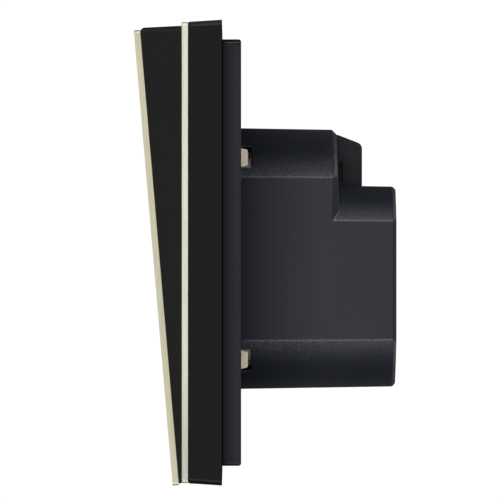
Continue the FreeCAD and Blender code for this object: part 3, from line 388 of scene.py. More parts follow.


# %% [markdown]
# ## The finishes of this switch
# One dictionary holds them, named as on the object. The black parts are separate mouldings
# with their own grain and gloss: the card pocket is matt, with painted light towards its rear;
# the cover frame satin, with a painted highlight along its upper edge; the support plate with
# painted shade where the cover frame overhangs it and a painted highlight on its top round; and
# the rear housing a bluer, coarser grade that resists heat, with painted specks of glint beside
# its creases. Tables keep the tones together, so that they can be compared and changed at a glance.

# %% Plastics of the outside and the inside
plastics = {
    # Painted light: the pocket's side grows lighter towards its rear.
    "pocket_black": dict(tone=colour(18, 18, 19), gloss=0.13, haze_and_painted_shade=(-11.5, -6.2, 2.2)),
    # Painted highlight: a paler band along the cover frame's upper edge.
    "cover_black": dict(tone=colour(7, 7, 9), rough=0.33, gloss=0.15, depth=0.000004, mottle=0.2,
                        painted_highlight_band=(41.75, 42.35, colour(40, 40, 42), 0.0)),
    # Painted shade where the cover frame overhangs the plate's front, and a painted highlight on its top
    # round.
    "plate_black": dict(tone=colour(6, 7, 9), rough=0.4, depth=0.0000008, edge_polish=0.24,
                        haze_and_painted_shade=(-3.6, 0.0, 8.0), painted_highlight_band=(38.0, 38.6, colour(14, 14, 16), 0.2)),
    # Painted specks of glint beside the creases, and a painted highlight together with the wear on the
    # rounds.
    "housing_grey": dict(tone=colour(9, 15, 26), rough=0.36, grain=2400, depth=0.00003, mottle=0.3,
                         rub_and_painted_highlight=0.2, painted_sparkle=0.21, sheen=(-1.0, 15.0, 0.68)),
    # Painted specks of glint.
    "terminal_black": dict(tone=colour(18, 20, 24), rough=0.45, gloss=0.22, painted_sparkle=0.2),
    "sign_ink": dict(tone=colour(52, 49, 42), rough=0.6, grain=4500, depth=0.000002),
    "chassis_ivory": dict(tone=colour(224, 212, 192), gloss=0.4, mottle=0.2),
    "lever_white": dict(tone=colour(225, 225, 220), rough=0.4, gloss=0.5),
    "switch_black": dict(tone=colour(28, 28, 30), rough=0.4, gloss=0.4),
    "plunger_red": dict(tone=colour(150, 30, 25), rough=0.35, gloss=0.5),
    "relay_black": dict(tone=colour(26, 27, 30), rough=0.35, gloss=0.5),
    "chip_black": dict(tone=colour(32, 32, 34), rough=0.6, gloss=0.3),
}
finishes = {name: moulded_plastic(name, **settings) for name, settings in plastics.items()}
print("made", len(finishes), "plastics")

# %% [markdown]
# ## Metals and lacquers
# The fascia's champagne is a little yellower than the trim's, as two runs of anodising come
# out. The inner pieces follow the colours that such components are sold in.

# %% The other finishes
finishes["champagne_fascia"] = brushed_metal("champagne_fascia", colour(205, 202, 177), 0.52)
# The trim gets painted shade towards its lower end.
finishes["champagne_trim"] = brushed_metal("champagne_trim", colour(224, 223, 206), 0.54,
                                           painted_shade_low_end=(-36.0, -18.0, 0.76))
finishes["guide_clear"] = clear_plastic("guide_clear")
tables = {
    dipped_coat: {
        "film_yellow": (colour(196, 160, 40), 0.25),
        "sleeve_black": (colour(34, 34, 44), 0.2),
        "varistor_blue": (colour(30, 84, 160), 0.3),
        "fuse_brown": (colour(74, 52, 40), 0.3),
        "resistor_tan": (colour(178, 150, 112), 0.35),
        "diode_black": (colour(30, 30, 32), 0.35),
        "board_green": (colour(28, 92, 60), 0.3),
        "lamp_clear": (colour(210, 70, 60), 0.1),
    },
    plated_metal: {
        "zinc_steel": (colour(196, 200, 204), 0.3),
        "spring_steel": (colour(170, 172, 176), 0.25),
        "tinned_copper": (colour(214, 214, 212), 0.35),
        "clamp_brass": (colour(218, 186, 110), 0.3),
    },
}
for make, table in tables.items():
    for name, (tone, rough) in table.items():
        finishes[name] = make(name, tone, rough)
print("made", len(finishes), "finishes in all")

# %% [markdown]
# ## Dressing a solid
# A moulding never has a knife edge: the cutter and the polish round it by a tenth or two of a
# millimetre, and that narrow band is what catches the light. A Bevel modifier could do it, but
# the solids come as loose triangles, and it would round every seam between them. So the points
# are merged, flat regions become whole faces, and only an edge that turns by more than a limit
# gets a narrow round. The work is done in millimetres, because the bevel tool loses its
# precision on sizes of a ten-thousandth.
#
# Where a round meets a very short edge the tool can throw a point out. So each point that ends
# up farther from the solid than the round is wide is put back on the solid.

# %% Rounded copies
MERGE = 0.002
FLAT_TURN = math.radians(0.4)


def read_solid(node):
    """A node's mesh in millimetres, merged and with its flat faces whole."""
    mesh = bmesh.new()
    mesh.from_mesh(nodes[node].data)
    mesh.transform(Matrix.Scale(1 / MM, 4))
    bmesh.ops.remove_doubles(mesh, verts=mesh.verts, dist=MERGE)
    bmesh.ops.dissolve_limit(mesh, angle_limit=FLAT_TURN, verts=mesh.verts, edges=mesh.edges)
    return mesh


def bevel(mesh, edges, width, segments):
    """Rounds these edges and marks the new faces."""
    made = bmesh.ops.bevel(mesh, geom=edges, offset=width, offset_type="OFFSET", segments=segments,
                           profile=0.5, affect="EDGES", clamp_overlap=False)
    layer = mesh.faces.layers.float["edge"]
    for face in made["faces"]:
        face[layer] = 1.0


def in_plane(edge, y):
    return all(abs(vert.co.y - y) < 0.02 for vert in edge.verts)


def round_edges(mesh, width, turn=25.0, segments=3, soft_y=None):
    """Rounds each edge that turns by more than this many degrees, but none in the plane soft_y."""
    surface = BVHTree.FromBMesh(mesh)
    mesh.faces.layers.float.new("edge")
    sharp = [e for e in mesh.edges if e.is_manifold and e.calc_face_angle(0) > math.radians(turn)]
    if soft_y is not None:
        sharp = [e for e in sharp if not in_plane(e, soft_y)]
    bevel(mesh, sharp, width, segments)
    for vert in mesh.verts:
        near, _, _, gap = surface.find_nearest(vert.co)
        if gap > width:
            vert.co = near


# %% [markdown]
# ## Where the grain is coarse
# On the real housing the grain is coarsest beside the creases of its two sides. A second
# attribute is worked out face by face from the way that each faces: it grows from 0 to 1 as a
# round corner turns into its side. It deepens the bump there, and it also says where specks of
# glint are painted into the colour. An attribute follows the shape, which a pattern by place
# alone would not.

# %% Coarse grain
SIDE_FLAT = 0.9
COARSE_FROM = 0.74
COARSE_OVER = 0.1


def mark_coarse_grain_and_glints(mesh):
    # This mask deepens the bump and also places the painted specks of glint.
    coarse = mesh.faces.layers.float.new("coarse")
    edge = mesh.faces.layers.float["edge"]
    mesh.normal_update()
    for face in mesh.faces:
        straight = abs(face.normal.x)
        if abs(face.normal.y) < 0.1 and (face[edge] > 0.5 or straight < SIDE_FLAT):
            face[coarse] = min(1.0, max(0.0, (straight - COARSE_FROM) / COARSE_OVER))


# %% [markdown]
# ## Pieces and their bodies
# A finished mesh stands for its plain solid and takes over what the construction says of it:
# the body that it moves with. The body is looked up in the record, so that it is stated in one
# place only.

# %% From a mesh to a piece


def piece_from(mesh, name, finish, smooth_turn=40.0):
    """Turns an edited mesh in millimetres into an object of the scene."""
    mesh.transform(Matrix.Scale(MM, 4))
    data = bpy.data.meshes.new(name)
    mesh.to_mesh(data)
    mesh.free()
    data.shade_smooth()
    data.set_sharp_from_angle(angle=math.radians(smooth_turn))
    data.materials.append(finishes[finish])
    piece = bpy.data.objects.new(name, data)
    bpy.context.scene.collection.objects.link(piece)
    level = piece.modifiers.new("flat faces stay flat", "WEIGHTED_NORMAL")
    level.keep_sharp = True
    return piece


def body_of(node):
    return next(body for body, members in frame["record"]["behaviour"]["bodies"].items() if node in members)


def install(piece, node):
    """The piece stands for this node, whose own mesh is hidden, and rides on its body."""
    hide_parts(node)
    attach(piece, body_of(node))


def dress(node, finish, width, soft_y=None, smooth_turn=40.0, mark=None):
    """The whole way for one moulding; mark is a last step on the rounded mesh."""
    mesh = read_solid(node)
    round_edges(mesh, width, soft_y=soft_y)
    mark_coarse_grain_and_glints(mesh)
    if mark is not None:
        mesh = mark(mesh)
    piece = piece_from(mesh, node + "_finished", finish, smooth_turn)
    install(piece, node)
    print(node, len(piece.data.polygons), "faces")


# %% [markdown]
# ## Shapes that follow a rule
# A punched plate, a screw or a moulded mark is easy to put into words: a rounded outline, drawn
# out to a thickness; a head with a slot, copied to each hole. A Geometry Nodes tree holds such
# a rule, with a named input for each size, so that one tree serves every piece of its kind.
# `grow` runs a tree once and keeps the plain mesh, since nothing here has to stay adjustable.
# All trees work in millimetres and lie flat, with Z as the way out; a matrix stands them up.

# %% Geometry trees


def start_rule(name, inputs):
    """A new geometry tree with named inputs; returns the graph and the inputs as wires."""
    tree = bpy.data.node_groups.new(name, "GeometryNodeTree")
    for label, kind in {"Geometry": "Geometry", **inputs, "Finish": "Material"}.items():
        tree.interface.new_socket(label, in_out="INPUT", socket_type="NodeSocket" + kind)
    tree.interface.new_socket("Geometry", in_out="OUTPUT", socket_type="NodeSocketGeometry")
    graph = Graph(tree)
    source = graph.add("NodeGroupInput").socket.node
    return graph, {socket.name: Wire(graph, socket) for socket in source.outputs if socket.name}


def end_rule(graph, given, shape):
    """Real copies in place of instances, then the finish."""
    real = graph.add("GeometryNodeRealizeInstances", None, {"Geometry": shape})
    painted = graph.add("GeometryNodeSetMaterial", None, {"Geometry": real, "Material": given["Finish"]})
    graph.add("NodeGroupOutput", None, {"Geometry": painted})
    return graph.tree


def grow(tree, finish, sizes, points=(), mesh=None):
    """Runs a tree on some points or on a mesh, and returns the result as a mesh to edit."""
    data = mesh or bpy.data.meshes.new(tree.name)
    if mesh is None:
        data.from_pydata(list(points), [], [])
    seed = bpy.data.objects.new(tree.name, data)
    bpy.context.scene.collection.objects.link(seed)
    rule = seed.modifiers.new("rule", "NODES")
    rule.node_group = tree
    values = {**sizes, "Finish": finishes[finish]}
    for item in tree.interface.items_tree:
        if item.in_out == "INPUT" and item.name in values:
            rule[item.identifier] = values[item.name]
    seen = seed.evaluated_get(bpy.context.evaluated_depsgraph_get())
    grown = bpy.data.meshes.new_from_object(seen)
    result = bmesh.new()
    result.from_mesh(grown)
    bpy.data.objects.remove(seed)
    bpy.data.meshes.remove(grown)
    return result


# %% [markdown]
# ## Outlines and what is drawn out of them
# Punching, printing and pressing all start from an outline in a plane. Three helpers are enough
# for them: a rectangle with round corners, the solid on an outline, and a move. The underside
# of the solid is a flipped copy of its outline, and merging the points closes the shell.

# %% Outline helpers
QUADRILATERAL = "GeometryNodeCurvePrimitiveQuadrilateral"
CORNER_STEPS = 6


def rounded_outline(graph, width, height, corner):
    sheet = graph.add(QUADRILATERAL, None, {"Width": width, "Height": height})
    return graph.add("GeometryNodeFilletCurve", {"mode": "POLY"}, {
        "Curve": sheet, "Radius": corner, "Count": CORNER_STEPS, "Limit Radius": True})


def drawn_out(graph, curves, height):
    """A closed solid on the area inside these curves."""
    base = graph.add("GeometryNodeFillCurve", {"mode": "NGONS"}, {"Curve": curves})
    walls = graph.add("GeometryNodeExtrudeMesh", None,
                      {"Mesh": base, "Offset Scale": height, "Individual": False})
    under = graph.add("GeometryNodeFlipFaces", None, {"Mesh": base})
    return graph.add("GeometryNodeMergeByDistance", None,
                     {"Geometry": graph.join(walls, under), "Distance": 0.001})


def moved(graph, shape, x=0.0, y=0.0, z=0.0):
    place = graph.add("ShaderNodeCombineXYZ", None, {"X": x, "Y": y, "Z": z})
    return graph.add("GeometryNodeTransform", None, {"Geometry": shape, "Translation": place})


def turned(graph, shape, rotation):
    return graph.add("GeometryNodeTransform", None, {"Geometry": shape, "Rotation": rotation})


def extent(points):
    """The low and the high corner of the box round some points."""
    return [Vector([pick(point[axis] for point in points) for axis in range(3)]) for pick in (min, max)]


# %% [markdown]
# ## The fascia
# The fascia is a sheet of anodised aluminium, cut out with its window in one stroke and then
# brushed. Its solid could be dressed like a moulding, but a punched sheet is a rule with a few
# sizes: an outline, a slot in it and a thickness. So a tree makes it.

# %% A punched plate


def punched_plate():
    graph, given = start_rule("punched plate", {
        "Width": "Float", "Height": "Float", "Corner": "Float", "Thickness": "Float",
        "Slot length": "Float", "Slot width": "Float", "Slot height": "Float"})
    outline = rounded_outline(graph, given["Width"], given["Height"], given["Corner"])
    slot = rounded_outline(graph, given["Slot length"], given["Slot width"], given["Slot width"] * 0.499)
    slot = moved(graph, slot, y=given["Slot height"])
    plate = drawn_out(graph, graph.join(outline, slot), given["Thickness"])
    return end_rule(graph, given, plate)


# %% [markdown]
# ## The fascia in its place
# The fascia leans out at the top. The lean is measured on the solid's largest face, and the
# sizes are taken once that lean is undone, so no number is copied from the construction. The
# window sits where the light guide comes through. The front rim is rounded more than the rear
# one, because fingers and cards touch it. The front lies a hair behind the solid's, which keeps
# the rounded plate inside the solid.

# %% The fascia
FASCIA_CORNER = 0.6
FRONT_GAP = 0.02
FRONT_RIM = 0.1
REAR_RIM = 0.07
WINDOW_LENGTH = 10.3
WINDOW_WIDTH = 1.9
STAND_UP = Matrix.Rotation(math.radians(90), 4, "X")


def round_rim(plate, height, width):
    """Rounds the plate's edges that lie at this height."""
    rim = [e for e in plate.edges if all(abs(v.co.z - height) < 0.001 for v in e.verts) and e.is_manifold
           and e.calc_face_angle(0) > 1]
    bevel(plate, rim, width, 4)


def make_fascia():
    """Makes the piece, and returns the matrix that lays a drawing on its front."""
    solid = read_solid("fascia_plate")
    normal = max(solid.faces, key=lambda face: face.calc_area()).normal.copy()
    solid.free()
    lean = Matrix.Rotation(math.atan(normal.z / normal.y), 4, "X")
    level = lean.inverted()
    low, high = extent([level @ (vert.co / MM) for vert in nodes["fascia_plate"].data.vertices])
    middle = (low + high) / 2
    thickness = high.y - low.y - FRONT_GAP
    guide_low, guide_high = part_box("light_guide")
    guide_height = (guide_low[2] + guide_high[2]) / 2 / MM
    window = level @ Vector((0, guide_low[1] / MM + (high.y - low.y) / 2, guide_height))
    plate = grow(punched_plate(), "champagne_fascia", {
        "Width": high.x - low.x, "Height": high.z - low.z, "Corner": FASCIA_CORNER,
        "Thickness": thickness, "Slot length": WINDOW_LENGTH, "Slot width": WINDOW_WIDTH,
        "Slot height": window.z - middle.z})
    plate.faces.layers.float.new("edge")
    round_rim(plate, thickness, FRONT_RIM)
    round_rim(plate, 0.0, REAR_RIM)
    plate.transform(lean @ Matrix.Translation((middle.x, high.y, middle.z)) @ STAND_UP)
    install(piece_from(plate, "fascia_plate_finished", "champagne_fascia", 50.0), "fascia_plate")
    print("fascia", [round(high[axis] - low[axis], 2) for axis in range(3)], "mm")
    return lean @ Matrix.Translation((middle.x, high.y - thickness, middle.z)) @ STAND_UP


front_of_fascia = make_fascia()

# %% [markdown]
# ## The sign on the fascia
# A sign shows where the card goes. It is screen-printed in dark ink: the outline of a card, an
# arrow that points down, and a bar for the slot's floor. It could be a picture on the plate, but
# a thin relief of ink stays sharp from near by. The ink stands three hundredths of a millimetre
# proud, and its strokes share one width, as a printed sign's do.

# %% A printed sign
INK_SUNK = 0.02
SIGN_HEIGHT = 6.0


def printed_sign():
    graph, given = start_rule("printed sign", {
        "Card width": "Float", "Card height": "Float", "Stroke": "Float", "Ink": "Float"})
    wide, high, stroke, ink = (given[name] for name in ("Card width", "Card height", "Stroke", "Ink"))
    outer = rounded_outline(graph, wide, high, 1.1)
    inner = rounded_outline(graph, wide - stroke * 2, high - stroke * 2, 0.6)
    card = drawn_out(graph, graph.join(outer, inner), ink)
    shaft = graph.add(QUADRILATERAL, None, {"Width": stroke, "Height": high * 0.36})
    shaft = moved(graph, drawn_out(graph, shaft, ink), y=high * 0.1)
    tip = graph.add("GeometryNodeCurvePrimitiveCircle", None, {"Resolution": 3, "Radius": stroke * 1.9})
    tip = turned(graph, tip, (0.0, 0.0, -math.pi / 2))
    tip = moved(graph, drawn_out(graph, tip, ink), y=high * -0.13)
    bar = graph.add(QUADRILATERAL, None, {"Width": wide * 1.5, "Height": stroke})
    bar = moved(graph, drawn_out(graph, bar, ink), y=high * -0.68)
    return end_rule(graph, given, graph.join(card, shaft, tip, bar))


def make_sign():
    mesh = grow(printed_sign(), "sign_ink", {
        "Card width": 6.4, "Card height": 9.0, "Stroke": 0.55, "Ink": 0.05})
    mesh.transform(front_of_fascia @ Matrix.Translation((0.0, SIGN_HEIGHT, -INK_SUNK)))
    piece = piece_from(mesh, "printed_sign", "sign_ink")
    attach(piece, "base")
    print("sign", len(piece.data.polygons), "faces")


make_sign()

# %% [markdown]
# ## Screws
# The clamp screws and the board screws are cheese-head screws with one slot. One tree makes a
# screw: a head, a slot cut from it by a boolean, a core, and a thread, which is a spiral with a
# three-sided profile. The tree puts a copy on every point that it is given, so one drawing
# serves both kinds and every hole.

# %% The screw's tree
SPIRAL_STEPS = 20


def slotted_screw():
    graph, given = start_rule("slotted screw", {
        "Head radius": "Float", "Head height": "Float", "Slot width": "Float", "Slot depth": "Float",
        "Core radius": "Float", "Core length": "Float", "Pitch": "Float"})
    rod = {"Vertices": 32, "Side Segments": 1, "Fill Segments": 1}
    head = graph.add("GeometryNodeMeshCylinder", None,
                     {**rod, "Radius": given["Head radius"], "Depth": given["Head height"]})
    head = moved(graph, head, z=given["Head height"] * 0.5)
    size = graph.add("ShaderNodeCombineXYZ", None, {
        "X": given["Head radius"] * 2.4, "Y": given["Slot width"], "Z": given["Slot depth"] * 2})
    cutter = moved(graph, graph.add("GeometryNodeMeshCube", None, {"Size": size}), z=given["Head height"])
    head = graph.add("GeometryNodeMeshBoolean", {"operation": "DIFFERENCE", "solver": "EXACT"},
                     {"Mesh 1": head, "Mesh 2": cutter})
    core = graph.add("GeometryNodeMeshCylinder", None,
                     {**rod, "Radius": given["Core radius"] * 0.9, "Depth": given["Core length"]})
    core = moved(graph, core, z=given["Core length"] * -0.5)
    spiral = graph.add("GeometryNodeCurveSpiral", None, {
        "Resolution": SPIRAL_STEPS, "Rotations": given["Core length"] / given["Pitch"],
        "Start Radius": given["Core radius"] * 0.87, "End Radius": given["Core radius"] * 0.87,
        "Height": given["Core length"] * 0.94})
    ridge = graph.add("GeometryNodeCurvePrimitiveCircle", None,
                      {"Resolution": 3, "Radius": given["Core radius"] * 0.12})
    thread = graph.add("GeometryNodeCurveToMesh", None,
                       {"Curve": spiral, "Profile Curve": ridge, "Fill Caps": True})
    thread = moved(graph, thread, z=given["Core length"] * -0.97)
    screw = graph.join(head, core, thread)
    copies = graph.add("GeometryNodeInstanceOnPoints", None, {"Points": given["Geometry"], "Instance": screw})
    return end_rule(graph, given, copies)


# %% [markdown]
# ## Where the screws sit
# The places are measured on the solids, so that they are right after any change of the
# construction. All screws of a kind are one solid with loose parts. Starting from any point and
# walking along the edges reaches one whole screw, and its box says where it is.

# %% The loose parts of a solid


def loose_parts(node):
    """The box of each loose part of a solid, in millimetres, from left to right."""
    mesh = read_solid(node)
    left = set(mesh.verts)
    boxes = []
    while left:
        front = [left.pop()]
        part = []
        while front:
            vert = front.pop()
            part.append(vert.co.copy())
            for edge in vert.link_edges:
                other = edge.other_vert(vert)
                if other in left:
                    left.remove(other)
                    front.append(other)
        boxes.append(extent(part))
    mesh.free()
    return sorted(boxes, key=lambda box: box[0].x)


# %% [markdown]
# ## Screws in their holes
# The clamp screws stand upright in the terminal block, and the board screws lie along the
# switch's depth. The tree draws a screw along Z, and a turn lays it along its hole. Heads, slots
# and threads get their sizes here, and their rims are rounded last, when all copies are there.

# %% Screws in their holes
screw_tree = slotted_screw()


def make_screws(node, turn, head_height, sizes, rim):
    """Screws in the place of a node; turn stands the tree's Z along the screw."""
    back = turn.inverted()
    places = []
    for low, high in loose_parts(node):
        ends = [back @ low, back @ high]
        top = max(end.z for end in ends)
        middle = (ends[0] + ends[1]) / 2
        places.append((middle.x, middle.y, top - head_height))
    mesh = grow(screw_tree, "zinc_steel", {**sizes, "Head height": head_height}, places)
    round_edges(mesh, rim, turn=50.0, segments=2)
    mesh.transform(turn)
    install(piece_from(mesh, node + "_finished", "zinc_steel"), node)
    print(node, len(places), "screws")


make_screws("terminal_screws", Matrix.Identity(4), 0.9, {
    "Head radius": 1.6, "Slot width": 0.6, "Slot depth": 0.5, "Core radius": 1.2, "Core length": 1.1,
    "Pitch": 0.4}, 0.06)
make_screws("board_screws", Matrix.Rotation(math.radians(-90), 4, "X"), 1.3, {
    "Head radius": 1.9, "Slot width": 0.5, "Slot depth": 0.65, "Core radius": 1.0, "Core length": 5.4,
    "Pitch": 0.7}, 0.12)

# %% [markdown]
# ## Marks pressed into the rear
# Pins push a moulding out of its tool, and each of the four leaves a shallow disc. The tool also
# carries a rounded field for a batch stamp, which stays bare here, and a number for each
# terminal. A bump would fake them from one side only, so they are cut: one tree draws all of
# them as cutters, and a boolean takes them out of the rounded housing. Seen from behind, left
# and right change places, so the tree turns its X round.

# %% Pressed marks
MARK_DEPTH = 0.4
FIELD_CORNER = 1.5


def pressed_marks():
    graph, given = start_rule("pressed marks", {
        "Rear": "Float", "Middle": "Float", "Grid width": "Float", "Grid height": "Float",
        "Disc radius": "Float", "Field width": "Float", "Field height": "Float",
        "Pitch": "Float", "Figure size": "Float", "Figure height": "Float", "Depth": "Float"})
    depth = given["Depth"]
    grid = graph.add("GeometryNodeMeshGrid", None, {
        "Size X": given["Grid width"], "Size Y": given["Grid height"], "Vertices X": 2, "Vertices Y": 2})
    disc = graph.add("GeometryNodeMeshCylinder", None,
                     {"Vertices": 40, "Radius": given["Disc radius"], "Depth": depth * 2})
    discs = graph.add("GeometryNodeInstanceOnPoints", None, {"Points": grid, "Instance": disc})
    cutters = [graph.add("GeometryNodeRealizeInstances", None, {"Geometry": discs})]
    field = rounded_outline(graph, given["Field width"], given["Field height"], FIELD_CORNER)
    cutters.append(moved(graph, drawn_out(graph, field, depth * 2), z=depth * -1))
    for place, figure in enumerate("123"):
        text = graph.add("GeometryNodeStringToCurves", {"align_x": "CENTER", "align_y": "MIDDLE"},
                         {"String": figure, "Size": given["Figure size"]})
        text = graph.add("GeometryNodeRealizeInstances", None, {"Geometry": text})
        cutters.append(moved(graph, drawn_out(graph, text, depth * 2), x=given["Pitch"] * (place - 1),
                             y=given["Figure height"], z=depth * -1))
    upright = turned(graph, graph.join(*cutters), (math.pi / 2, 0.0, math.pi))
    placed = moved(graph, upright, y=given["Rear"], z=given["Middle"])
    cut = graph.add("GeometryNodeMeshBoolean", {"operation": "DIFFERENCE", "solver": "EXACT"},
                    {"Mesh 1": given["Geometry"], "Mesh 2": placed})
    return end_rule(graph, given, cut)


def press_marks(mesh):
    rear = max(vert.co.y for vert in mesh.verts)
    terminals = [(low.x + high.x) / 2 for low, high in loose_parts("terminal_screws")]
    data = bpy.data.meshes.new("housing before its marks")
    mesh.to_mesh(data)
    mesh.free()
    return grow(pressed_marks(), "housing_grey", {
        "Rear": rear, "Middle": -9.0, "Grid width": 30.0, "Grid height": 24.0, "Disc radius": 2.2,
        "Field width": 20.0, "Field height": 10.0, "Pitch": terminals[1] - terminals[0],
        "Figure size": 3.2, "Figure height": 17.0, "Depth": MARK_DEPTH}, mesh=data)


# %% [markdown]
# ## The outer mouldings
# These show from outside, some of them only through a window or the card slot. Each is dressed
# with the radius that its edges have on the real object: the metal trim is nearly sharp, and
# the housing, which stays in the wall, is the roundest. One edge of the housing stays as it is:
# where its step runs out into a chamfer, the two faces meet softly in the mould.

# %% Outer pieces
STEP_Y = 18.28
STEP_CHAMFER = 1.05
dress("card_pocket", "pocket_black", 0.1)
dress("trim_plate", "champagne_trim", 0.05)
dress("cover_frame", "cover_black", 0.12)
dress("support_plate", "plate_black", 0.2)
dress("rear_housing", "housing_grey", 0.25, soft_y=STEP_Y - STEP_CHAMFER, smooth_turn=50.0,
      mark=press_marks)
dress("terminal_block", "terminal_black", 0.08)
dress("front_chassis", "chassis_ivory", 0.2)
dress("terminal_clamps", "clamp_brass", 0.08)
dress("card_lever", "lever_white", 0.12)
dress("light_guide", "guide_clear", 0.08)

# %% [markdown]
# ## The lever's spring
# A torsion spring of drawn wire lifts the lever again after the card is taken out. Its long leg
# leans on the chassis, and its short end sits in a hole of the lever's hub. When the lever
# turns, the coil between them twists. A piece that rode on one body would tear at the other
# end, so this one is blended from the one body to the other along the coil's axis.

# %% The torsion spring
WIRE_RADIUS = 0.2


def make_spring():
    low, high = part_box("lever_spring")
    pin_low, pin_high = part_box("lever_pin")
    axis_y, axis_z = (pin_low[1] + pin_high[1]) / 2, (pin_low[2] + pin_high[2]) / 2
    spring = piece_from(read_solid("lever_spring"), "lever_spring_finished", "spring_steel", 60.0)
    spring.modifiers.clear()
    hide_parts("lever_spring")
    leg_side = high[0] - 2 * WIRE_RADIUS * MM
    hub_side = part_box("card_lever")[1][0] + 2 * WIRE_RADIUS * MM
    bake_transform(spring, "base", "lever", start=(leg_side, axis_y, axis_z), end=(hub_side, axis_y, axis_z))
    print("coil between x", round(hub_side / MM, 2), "and", round(leg_side / MM, 2), "mm")


make_spring()

# %% [markdown]
# ## The pieces inside
# The board carries bought-in components: a relay, capacitors, a fuse, resistors and a lamp. The
# covers hide them, so rounding their edges would cost triangles that no view shows. They keep
# their own solids, and the finish alone tells a dipped capacitor from a moulded relay when a
# cover is taken off.

# %% Inner pieces
inner = {
    "lever_pin": "zinc_steel",
    "microswitch_case": "switch_black",
    "microswitch_plunger": "plunger_red",
    "microswitch_pins": "tinned_copper",
    "main_board": "board_green",
    "indicator_led": "lamp_clear",
    "control_chip": "chip_black",
    "relay_case": "relay_black",
    "relay_pins": "tinned_copper",
    "film_capacitor": "film_yellow",
    "electrolytic_capacitor": "sleeve_black",
    "varistor": "varistor_blue",
    "fuse": "fuse_brown",
    "dropper_resistors": "resistor_tan",
    "rectifier_diodes": "diode_black",
    "component_leads": "tinned_copper",
    "terminal_tabs": "clamp_brass",
}
for node, finish in inner.items():
    for material_slot in nodes[node].material_slots:
        material_slot.material = finishes[finish]
print("finished", len(inner), "inner pieces")

# %% [markdown]
# ## The floor
# A product is photographed over a pale floor, so that it seems to stand in light. The floor is a
# wide disc well below the switch. It glows faintly, and more so far away, so that it nearly
# meets the white behind it. Neither its light nor its picture falls on the switch.

# %% The floor
FLOOR_DROP = 1.3
FLOOR_RADIUS = 12.0
FLOOR_GLOW = 0.95
FADE_FROM = 2.0
FADE_SHARE = 0.2


def make_floor():
    mesh = bmesh.new()
    bmesh.ops.create_circle(mesh, cap_ends=True, segments=96, radius=FLOOR_RADIUS,
                            matrix=Matrix.Translation((0, 0, -FLOOR_DROP)))
    data = bpy.data.meshes.new("floor")
    mesh.to_mesh(data)
    mesh.free()
    material, graph, place, _ = start_material("floor_paint")
    speck = graph.noise(place, 6, 3.0)
    distance = graph.add("ShaderNodeVectorMath", {"operation": "LENGTH"}, {0: place}, output="Value")
    far = graph.clamped((distance - FADE_FROM) * FADE_SHARE)
    near_glow = graph.mix(speck, colour(228, 228, 227), colour(233, 233, 232))
    finish_material(graph, {
        "Base Color": graph.mix(speck, colour(226, 226, 224), colour(236, 236, 234)),
        "Roughness": 0.8,
        "Emission Color": graph.mix(far, near_glow, WHITE),
        "Emission Strength": FLOOR_GLOW,
    })
    data.materials.append(material)
    floor = bpy.data.objects.new("floor", data)
    floor.visible_diffuse = False
    floor.visible_glossy = False
    bpy.context.scene.collection.objects.link(floor)


make_floor()
print("floor", FLOOR_DROP, "m below the switch")

# %% [markdown]
# ## The tent
# Round the switch hangs a tent of white cloth. It could be a picture of a studio, but an even
# white is all that is needed: full white to the camera alone, and a weak light from all round
# on the switch, so that the soft boxes still draw its shape.

# %% The tent
TENT_LIGHT = 0.08
TENT_WHITE = 1.05


def make_tent():
    world = bpy.data.worlds.new("white tent")
    world.use_nodes = True
    world.node_tree.nodes.clear()
    graph = Graph(world.node_tree)
    seen = graph.add("ShaderNodeLightPath", output="Is Camera Ray")
    tent = graph.add("ShaderNodeBackground", None, {"Color": WHITE, "Strength": TENT_LIGHT})
    white = graph.add("ShaderNodeBackground", None, {"Color": WHITE, "Strength": TENT_WHITE})
    both = graph.add("ShaderNodeMixShader", None, {0: seen, 1: tent, 2: white})
    graph.add("ShaderNodeOutputWorld", None, {"Surface": both})
    bpy.context.scene.world = world


make_tent()
print("a tent of", TENT_WHITE, "to the camera and", TENT_LIGHT, "on the switch")

# %% [markdown]
# ## The soft boxes
# Black plastic shows hardly any colour of its own: what the eye reads is the reflection of the
# lights. So each face gets a box of its own to mirror. A large box on each side lights the flat
# faces, the end boxes the front and the chamfers that face the rear, and the rear boxes the
# back. A bright narrow strip above and one below draw the bright lines where the round corners
# meet the side, and a weaker glow beside each strip lets these lines run out softly. The side
# that the camera sees has the bright strips. A white wall has a radiance of 1 here.

# %% Soft boxes
GLOW_TO_STRIP = 0.12


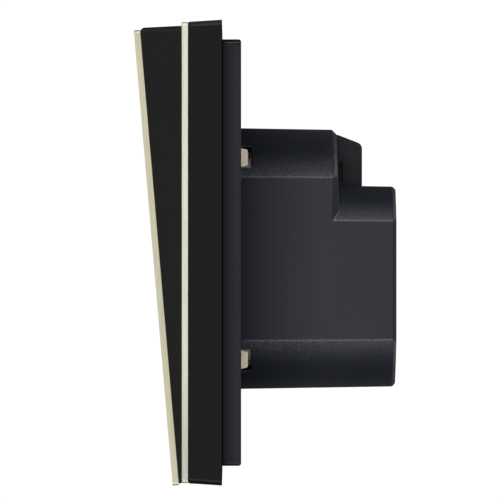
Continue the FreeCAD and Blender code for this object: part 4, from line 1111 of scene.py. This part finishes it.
def soft_box(name, place, size_x, size_y, radiance):
    """A rectangular light at a place, turned towards the switch."""
    light = bpy.data.lights.new(name, "AREA")
    light.shape = "RECTANGLE"
    light.size = size_x
    light.size_y = size_y
    light.energy = radiance * math.pi * size_x * size_y
    box = bpy.data.objects.new(name, light)
    box.location = place
    box.rotation_mode = "QUATERNION"
    box.rotation_quaternion = (-Vector(place)).to_track_quat("-Z", "Y")
    box.visible_camera = False
    bpy.context.scene.collection.objects.link(box)


for height in (-0.78, 0.78):
    soft_box(f"rear_box_{height}", (0.0, 1.35, height), 1.6, 0.5, 1.3)
for side, strip, end, rear in ((-1, 0.5, 1.15, 0.2), (1, 6.3, 0.22, 0.4)):
    soft_box(f"side_box_{side}", (side * 1.36, -0.55, 0.0), 1.7, 1.4, 1.0)
    for kind, out, up, length, width, radiance in (
            ("strip", 0.86, 0.83, 1.8, 0.24, strip),
            ("glow", 0.55, 1.06, 1.5, 0.42, strip * GLOW_TO_STRIP)):
        soft_box(f"high_{kind}_{side}", (side * out, 0.15, up), length, width, radiance)
        soft_box(f"low_{kind}_{side}", (side * out, 0.15, -up), length, width, radiance)
    soft_box(f"end_box_{side}", (0.0, side * 1.5, 0.0), 1.7, 1.7, end)
    soft_box(f"rear_glow_{side}", (side * 1.2, 0.95, 0.0), 1.2, 0.9, rear)

# %% [markdown]
# ## The camera
# The switch is seen square from its side, and the plates show almost no face that turns away.
# So the camera stands a metre off, twenty times the depth of the switch, and looks through a
# long lens. From near by, a wide lens would show the fascia's front or the cover's rear. It
# stands level with the middle of the switch, and turns a fifth of a degree towards the rear.

# %% The camera
LENS = 373.9
STANDPOINT = (1.0, -0.0020, 0.00048)
AIM = (0.0, 0.00178, 0.00048)
camera_data = bpy.data.cameras.new("side view")
camera_data.sensor_width = 36.0
camera_data.lens = LENS
camera_data.clip_start = 0.05
camera_data.clip_end = 40.0
camera = bpy.data.objects.new("side view", camera_data)
camera.location = STANDPOINT
camera.rotation_mode = "QUATERNION"
camera.rotation_quaternion = (Vector(AIM) - camera.location).to_track_quat("-Z", "Y")
bpy.context.scene.collection.objects.link(camera)
bpy.context.scene.camera = camera
bpy.context.scene.view_settings.view_transform = "Standard"
print("the camera sees", round(math.degrees(camera_data.angle), 2), "degrees")

# %% [markdown]
# ## The size
# The finished pieces must stay inside the box of the solids.

# %% Sizes
import json
